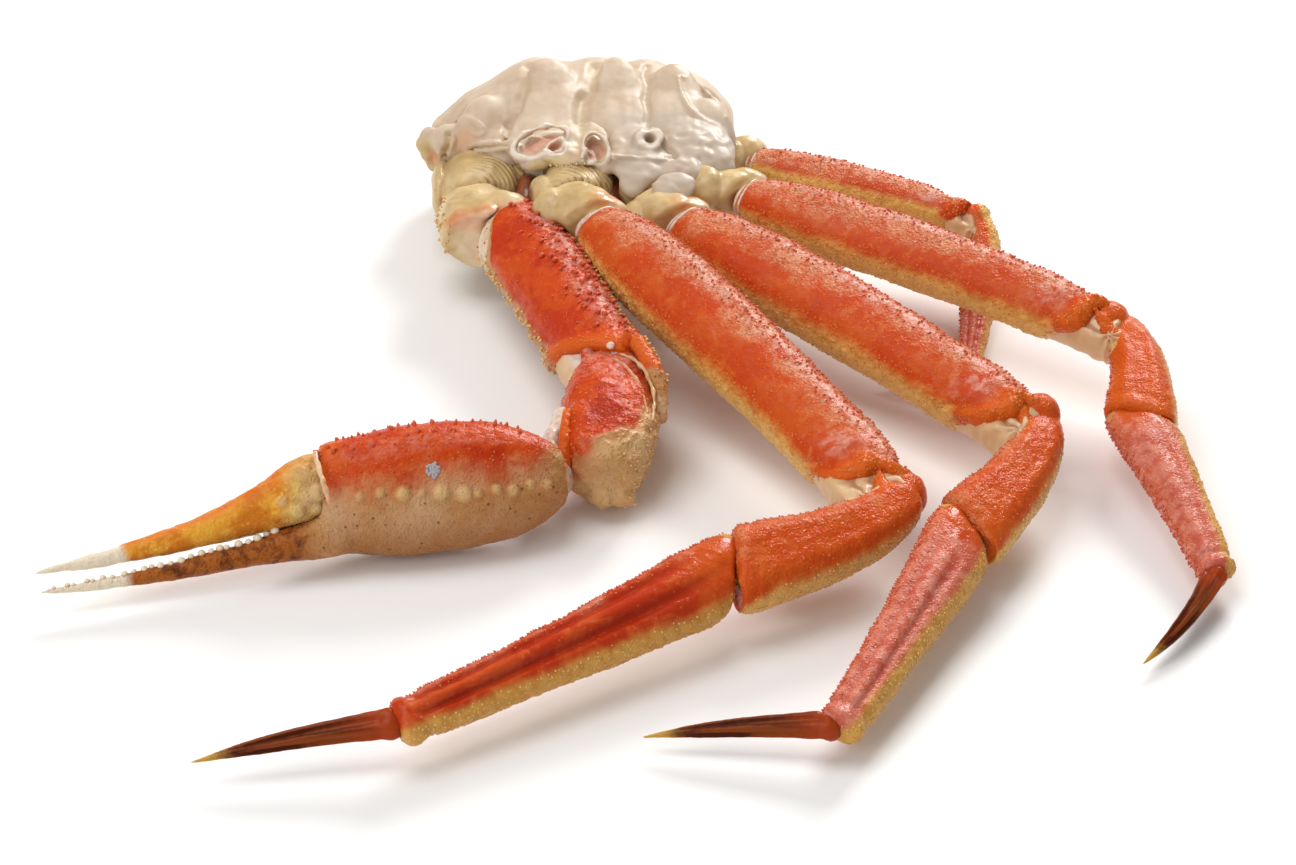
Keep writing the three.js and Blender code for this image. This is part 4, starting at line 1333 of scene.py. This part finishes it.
# Painted shade: the meat low in front, in the gaps between the hips, is dark.
gap_shade = near(points, meat(0.36, -0.40, 0.55), 9) + near(points, meat(0.61, -0.42, 0.55), 8)
gold = np.maximum(gold, 0.9 * near(points, meat(0.0, 0.3, 0.5), 9))
edge = near_path(points, [meat(0.36, -0.34, 0.79), meat(0.56, -0.38, 0.88)], 4)
gold = np.maximum(gold, 0.8 * edge)
brown = near(points, meat(0.10, 0.30, 0.68), 4) + near(points, meat(0.15, 0.24, 0.73), 3)
brown += 0.5 * near(points, meat(0.82, -0.40, 0.77), 6) + 0.5 * near(points, meat(0.24, 0.12, 0.74), 3.5)
peach = 0.55 * near(points, meat(0.15, 0.16, 0.66), 8) + 0.6 * near(points, meat(0.03, 0.26, 0.50), 6)
peach += 0.6 * near(points, meat(0.55, 0.03, 0.66), 4) + 0.5 * near(points, meat(0.84, -0.42, 0.75), 7)
# Painted shade: a darker yellow brown deep in the hollows of the meat.
fold = step(hollows(meat_piece), 0.10, 0.55)
gloss = step(points[:, 0], meat(0.66, 0, 0)[0], meat(0.85, 0, 0)[0])
# Painted shade: the right-hand lobes, which face up to the lamps, are given a darker colour.
cool = step(points[:, 0], meat(0.52, 0, 0)[0], meat(0.68, 0, 0)[0])
cool *= step(points[:, 1], meat(0, 0.30, 0)[1], meat(0, -0.02, 0)[1])
carry(meat_piece, gold=gold, dark=gap_shade, pit=pits, white=white, rust=brown, peach=peach,
      fold=0.9 * fold, gloss=gloss, cool=0.6 * cool * (1 - white))
done(meat_piece, WHITE_MEAT, "shoulder")
print("shoulder:", len(meat_piece.data.polygons), "faces")

# %% A comb of small teeth under the flap over the first leg
COMB_TEETH = 9
shares = np.linspace(0, 1, COMB_TEETH)[:, None]
comb = meat(0.40, -0.34, 0.78) * (1 - shares) + meat(0.53, -0.38, 0.87) * shares
points, normals = points_of(meat_piece), normals_of(meat_piece)
comb = np.array([spot_under(points, normals, place, FRONT)[0] for place in comb])
plant("shoulder_comb", THORN, comb, (0.1, -0.6, -0.6), 0.65 * MM, IVORY)

# %% [markdown]
# ## The claw arm
#
# The claw arm is rounder, redder and far spinier than the legs. Its hand is orange above and
# cream below, with a row of pale knobs between, and two long fingers whose tips are ivory.

# %% Claw merus and carpus
def make_claw_merus(seed):
    lie, wrist = lies["claw_merus"], lies["claw_carpus"]
    flange = [lie.at(0.95, 0.45, 0.85), wrist.at(0.17, 0.62, 1.08), wrist.at(0.29, 0.95, 0.92),
              wrist.at(0.44, 1.08, 0.62), wrist.at(0.57, 1.10, 0.25)]
    piece = rounded("claw_merus", "claw_merus_shell", additions=[strand(flange, 2.6)])
    places = Places(piece, lie)
    shells["claw_merus"] = piece, places
    upper = step(places.rise, -0.5, 0.1)
    beyond = step(places.to_cap, -1.0, -3.0)
    lip = np.maximum(hump(places.to_cap, 1.6, 2.8) * upper, beyond)
    dip = np.interp(places.side, (-1.1, -0.7, -0.4, -0.1, 0.1, 0.3, 0.7, 1.0),
                    (3.0, 5.0, 6.0, 5.0, 4.0, 3.5, 1.6, 0.2)) * step(places.rise, -0.3, 0.5)
    dip *= step(places.to_cap, 12, 1) * (1 - beyond)
    push(piece, dip, lie.along)
    wrinkles = np.sin(2 * math.pi * places.local[:, 0] / 1.9 + 4 * lumps(places.local, 7, 4, 4))
    wrinkled = step(places.side, -0.3, 0.3) * upper * step(places.along, 0.15, 0.4) * (1 - beyond)
    start = 0.02 + 0.20 * step(places.side, 0.2, -0.9)
    hip = step(places.along, start + 0.03, start - 0.03)
    belly = belly_of(places, -1, -0.60) + 1.5 * hip
    push(piece, 1.0 * lip * (1 - beyond) - 0.5 * hump(places.to_cap, 5.2, 2.0) * upper
         + 0.16 * wrinkles * wrinkled + 0.5 * lumps(places.local, 8, 7, 7)
         + 0.18 * lumps(places.local, 2, 1.4, 1.4))
    # A painted highlight of the window light along the crest.
    bloom = hump(places.side, 0.66, 0.42) * upper * (1 - beyond) * step(places.to_cap, 3, 10)
    golden = beyond * step(places.to_cap, -9, -16)
    carry(piece, belly=belly * (1 - beyond) + 1.2 * golden - 0.4 * beyond, bloom=bloom,
          crest=(places.side - 0.3) * upper * (1 - beyond), lip=lip * (1 - golden), ivory=0.55 * hip)
    edge = step(places.side, 0.0, 0.7) * step(places.rise, -0.6, -0.1)
    ends = step(places.along, 0.02, 0.12) * step(places.to_cap, 0.5, 4)
    sow("spines", "claw", piece, 0.10 * edge * ends * (1 - beyond), 3.2, 1.0, lie.along * 1.0, seed)
    rim = step(places.side, 0.90, 0.99) * step(places.rise, -0.8, -0.4)
    sow("pale_spines", "claw", piece, 0.5 * rim + 0.5 * golden * (places.side > 0.6), 2.0, 0.55,
        lie.outer * 0.8 + lie.along * 0.5, seed + 40)
    sow("spines", "claw", piece, 0.003 * upper * ends, 3.0, 0.45, lie.along * 0.8, seed + 10)
    left = step(-places.side, 0.85, 0.97) * step(np.abs(places.rise), 0.8, 0.4)
    sow("pale_spines", "claw", piece, 0.4 * left, 2.8, 0.60, lie.along * 0.4, seed + 20)
    sow("grains", "claw", piece, 0.05 * lip, 1.6, 0.28, 0, seed + 30)
    return done(piece, CLAW_SHELL, "claw_merus")


# The lumps of the heel of the wrist segment: place in shares of it, and half sizes in mm.
HEEL = [((0.97, 0.05, -0.50), (4.2, 3.0, 3.4)), ((0.95, 0.35, -0.55), (3.4, 3, 3)),
        ((0.62, 0.75, 0.2), (3.5, 6, 5))]


def make_claw_carpus(seed):
    lie = lies["claw_carpus"]
    tab = knee_tab("claw", 2.6)
    heel = [tab, *(blob(lie.at(*place), size) for place, size in HEEL)]
    piece = rounded("claw_carpus", "claw_carpus_shell", additions=heel)
    places = Places(piece, lie)
    shells["claw_carpus"] = piece, places
    belly = 2.0 * (0.9 * places.along - 0.35 * places.rise + 0.48 * places.side - 0.60)
    belly += 0.5 * lumps(places.local, 5) + 0.8 * step(places.along, 0.75, 1.0)
    belly += 1.2 * near(points_of(piece), over_knee("claw", TABS["claw"][1][0] - 1.0, 4.5), 4.5)
    rough_belly = step(belly, 0.0, 0.3)
    ridge = hump(places.along, 0.50, 0.14) * step(places.rise, 0.0, 0.6)
    hollow = hump(places.along, 0.72, 0.14) * step(places.rise, 0.0, 0.6) * hump(places.side, 0, 0.6)
    push(piece, 0.7 * ridge - 0.9 * hollow + 0.8 * lumps(places.local, 7, 6, 6)
         + 0.30 * lumps(places.local, 2.6) + 0.20 * lumps(places.local, 1.2)
         + 0.7 * rough_belly * np.maximum(lumps(places.local, 2.6), 0))
    # The pale patches asked for on top near the knee end are a painted highlight.
    carry(piece, belly=0.30 * belly, crest=0.40 - 1.7 * places.along, shade=0.6 * hollow,
          bloom=0.6 * hump(places.along, 0.18, 0.3) * step(places.rise, 0.2, 0.7), knob=0.35 * rough_belly)
    top = step(places.rise, -0.1, 0.4) * (1 - rough_belly)
    sow("grains", "claw", piece, 0.03 * top, 1.6, 0.28, 0, seed)
    right = rough_belly * step(places.side, 0.35, 0.9)
    sow("pale_spines", "claw", piece, 0.10 * right, 2.4, 0.45, lie.along * 0.3, seed + 10)
    return done(piece, CLAW_SHELL, "claw_carpus")


# %% Palm with its fixed finger
PALM_END = 0.46
# The pale knobs: place along the palm and across it, in shares, and size.
KNOBS = [(0.40, -0.16, 1.5), (0.36, -0.14, 1.2), (0.32, -0.06, 1.6), (0.285, -0.01, 1.0),
         (0.25, 0.06, 1.8), (0.21, 0.15, 1.7), (0.185, 0.19, 1.1), (0.15, 0.20, 1.2),
         (0.12, 0.27, 1.3), (0.085, 0.26, 1.2), (0.05, 0.33, 1.7), (0.43, 0.10, 1.5),
         (0.445, 0.22, 1.7), (0.415, 0.30, 1.1)]


def make_palm(seed):
    lie = lies["claw_palm"]
    piece = rounded("claw_palm", "claw_palm_shell")
    places = Places(piece, lie)
    points = points_of(piece)
    belly = 0.55 * places.side + 0.14 + 0.4 * step(places.along, 0.08, 0.0)
    front = step(places.rise, -0.1, 0.3)
    heights = np.zeros(len(points))
    for along, side, size in KNOBS:
        heights += 0.9 * size * near(points, lie.at(along, side, 0.85), 1.35 * size) * front
    palm = step(places.along, PALM_END + 0.02, PALM_END - 0.03)
    push(piece, 0.65 * heights + 0.4 * lumps(places.local, 8, 7, 7)
         + 0.15 * lumps(places.local, 1.8, 1.5, 1.5))
    rust = (1 - palm) * step(places.along, PALM_END + 0.01, PALM_END + 0.08)
    # The darker orange brown asked for on the lower side is painted shade.
    # The pale patches asked for along the top edge are a painted highlight.
    carry(piece, belly=np.where(places.along > PALM_END, 0.5, belly),
          crest=(-0.5 * places.side - 0.65) * palm,
          lip=0.8 * hump(places.along, PALM_END - 0.03, 0.05) * step(-places.side, 0.2, 0.6),
          rust=rust, ivory=step(places.along, 0.78, 0.9), knob=0.55 * np.clip(heights, 0, 1.4),
          under=step(places.side, 0.2, 0.95) * palm, bloom=0.3 * hump(places.side, -0.72, 0.25) * palm)
    ridge = step(-places.side, 0.72, 0.9) * palm * step(places.along, 0.06, 0.12)
    sow("spines", "claw", piece, 0.15 * ridge, 4.2, 0.72, 0, seed)
    sow("spines", "claw", piece, 0.008 * step(-places.side, 0.0, 0.3) * palm * front, 4.0, 0.42, 0,
        seed + 10)
    sow("grains", "claw", piece, 0.02 * step(-places.side, -0.1, 0.4) * palm, 1.6, 0.22, 0,
        seed + 20)
    return done(piece, CLAW_SHELL, "claw_palm"), places


FINGER_KNOBS = [(0.03, 0.1, 1.9), (0.12, 0.45, 1.5), (0.05, 0.65, 1.6), (0.16, 0.0, 1.3)]


def make_finger():
    lie = lies["claw_finger"]
    piece = rounded("claw_finger", "claw_finger_shell", 0.35 * MM)
    places = Places(piece, lie)
    base = step(places.along, 0.25, 0.05)
    joint = step(places.along, 0.08, 0.0)
    push(piece, 1.6 * joint, -lie.along)
    push(piece, 0.5 * base + 0.6 * base * lumps(places.local, 3)
         + 0.3 * lumps(places.local, 6, 3, 3) + 0.18 * lumps(places.local, 2, 1.2, 1.2))
    heights = np.zeros(len(joint))
    for along, side, size in FINGER_KNOBS:
        heights += size * near(points_of(piece), lie.at(along, side, 0.9), 1.4 * size)
    push(piece, 0.5 * heights)
    upper_edge = step(-places.side, 0.2, 0.9)
    carry(piece, belly=0.6 * base - 0.25 + 0.2 * places.side, crest=-places.side - 0.9,
          lip=0.75 * upper_edge, rust=0.40 * step(places.side, 0.2, 0.9),
          ivory=step(places.along, 0.62, 0.78), knob=0.5 * np.clip(heights, 0, 1.4))
    return done(piece, OCHRE_SHELL, "claw_finger")


make_claw_merus(400)
make_claw_carpus(410)
make_knee("claw")
palm, palm_places = make_palm(420)
make_finger()

# %% Teeth on the fixed finger
TEETH = 24
FIRST_TOOTH, LAST_TOOTH = 0.56, 0.97    # shares of the length of the palm and fixed finger


def make_teeth():
    """Ivory teeth along the upper edge of the fixed finger, smaller towards its tip."""
    lie = lies["claw_palm"]
    points = points_of(palm)
    spots, sizes = [], []
    for number in range(TEETH):
        along = FIRST_TOOTH + (LAST_TOOTH - FIRST_TOOTH) * number / (TEETH - 1)
        ring_of = np.flatnonzero(np.abs(palm_places.along - along) < 0.004)
        edge = ring_of[np.argmin((points[ring_of] - lie.middle) @ (lie.outer - 0.35 * lie.up))]
        spots.append(points[edge])
        sizes.append((1.20 - 0.55 * number / TEETH) * MM * (1 + 0.12 * (-1) ** number))
    return plant("claw_teeth", small_shape(10, 8, 0.35), np.array(spots),
                 -lie.outer + 0.8 * lie.up, np.array(sizes), IVORY)


make_teeth()
lie = lies["claw_palm"]
patch = near(points_of(palm), lie.at(0.255, -0.27, 0.95), 2.1)
picks = spots_on(palm, patch, 0.5 * MM, 500)
plant("claw_crust", GRAIN, points_of(palm)[picks], lie.up, 0.50 * MM, GREY_CRUST)

# %% Wrist and knee of the claw arm
knee_parts = [shells[node][0] for node in ("claw_merus", "claw_carpus")]
knee_points = np.concatenate([points_of(part) for part in knee_parts])
knee_normals = np.concatenate([normals_of(part) for part in knee_parts])


def on_knee(*shares):
    """The spot on the skin of the knee that is in front of a place in shares of the carpus."""
    return spot_under(knee_points, knee_normals, lies["claw_carpus"].at(*shares), FRONT)[0]


def laid_strand(name, spots, thick, material, voxel=FINE_VOXEL, **numbers):
    """A finished soft strand through five places, which carries numbers for its material."""
    piece = fused([strand(spots, thick)], name, voxel, 3)
    push(piece, 0.4 * lumps(points_of(piece) / MM, 1.8))
    carry(piece, **numbers)
    return done(piece, material)


# Five places for each strand, in shares of the carpus or of the palm.
KNEE_RIMS = [((0.20, 0.10, 1.06), (0.26, 0.45, 1.02), (0.33, 0.75, 0.90), (0.45, 0.95, 0.62),
              (0.56, 1.02, 0.28)),
             ((0.25, -0.02, 1.08), (0.30, 0.33, 1.05), (0.37, 0.62, 0.95), (0.47, 0.84, 0.70),
              (0.57, 0.92, 0.38))]
WRIST_LIP = ((0.66, -0.78, 0.78), (0.78, -0.80, 0.72), (0.89, -0.78, 0.58), (0.98, -0.74, 0.32),
             (0.98, -0.70, 0.12))
PALM_RIM = ((0.452, -0.92, 0.30), (0.458, -0.75, 0.70), (0.457, -0.55, 0.90), (0.456, -0.35, 0.98),
            (0.456, -0.18, 1.00))
WRIST_LUMPS = [((0.93, -0.95, -0.1), (4.5, 6.0, 6.5)), ((0.66, -0.90, 0.30), (2.8, 6.0, 4.2)),
               ((0.80, -1.05, 0.35), (2.2, 4.5, 3.0))]

outer_rim, inner_rim = ([on_knee(*shares) for shares in rim] for rim in KNEE_RIMS)
laid_strand("claw_knee_rim", outer_rim, 0.6, JOINT_SKIN)
laid_strand("claw_knee_rim_2", inner_rim, 0.6, JOINT_SKIN, orange=0.45)
carpus, palm_lie = lies["claw_carpus"], lies["claw_palm"]
laid_strand("claw_wrist_lip", [carpus.at(*shares) for shares in WRIST_LIP], 1.7, CLAW_SHELL,
            0.3 * MM, belly=-1.0, lip=1.0)
laid_strand("claw_palm_rim", [palm_lie.at(*shares) for shares in PALM_RIM], 0.8, JOINT_SKIN)
knob = fused([blob(on_knee(0.20, -0.05, 1.15), (1.0, 0.95, 0.9))], "claw_knee_knob", FINE_VOXEL, 2)
push(knob, 0.3 * lumps(points_of(knob) / MM, 1.2))
done(knob, JOINT_RING)
wrist = fused([blob(carpus.at(*place), size) for place, size in WRIST_LUMPS],
              "claw_wrist_skin", 0.4 * MM, 4)
push(wrist, 0.5 * lumps(points_of(wrist) / MM, 4, 1.4, 4))
done(wrist, JOINT_RING)

# %% Plant the spines and grains
FINISH_OF = {"spines": (THORN, RED_SPINE), "grains": (GRAIN, GOLD_GRAIN),
             "pale_grains": (GRAIN, PALE_GRAIN), "pale_spines": (THORN, PALE_GRAIN)}
for (kind, limb), lots in planted.items():
    shape, material = FINISH_OF[kind]
    spots, ways, sizes = (np.concatenate(column) for column in zip(*lots))
    plant(f"{limb}_{kind}", shape, spots, ways, sizes, material)
    print(f"{limb}_{kind}: {len(spots)} pieces, {len(spots) * len(shape[1])} faces")

# %% [markdown]
# ## The face count
#
# The faces of all shown pieces are counted and printed.

# %% Finish
faces = sum(len(o.data.polygons) for o in bpy.data.objects if o.type == "MESH" and not o.hide_render)
print("faces in all:", faces)
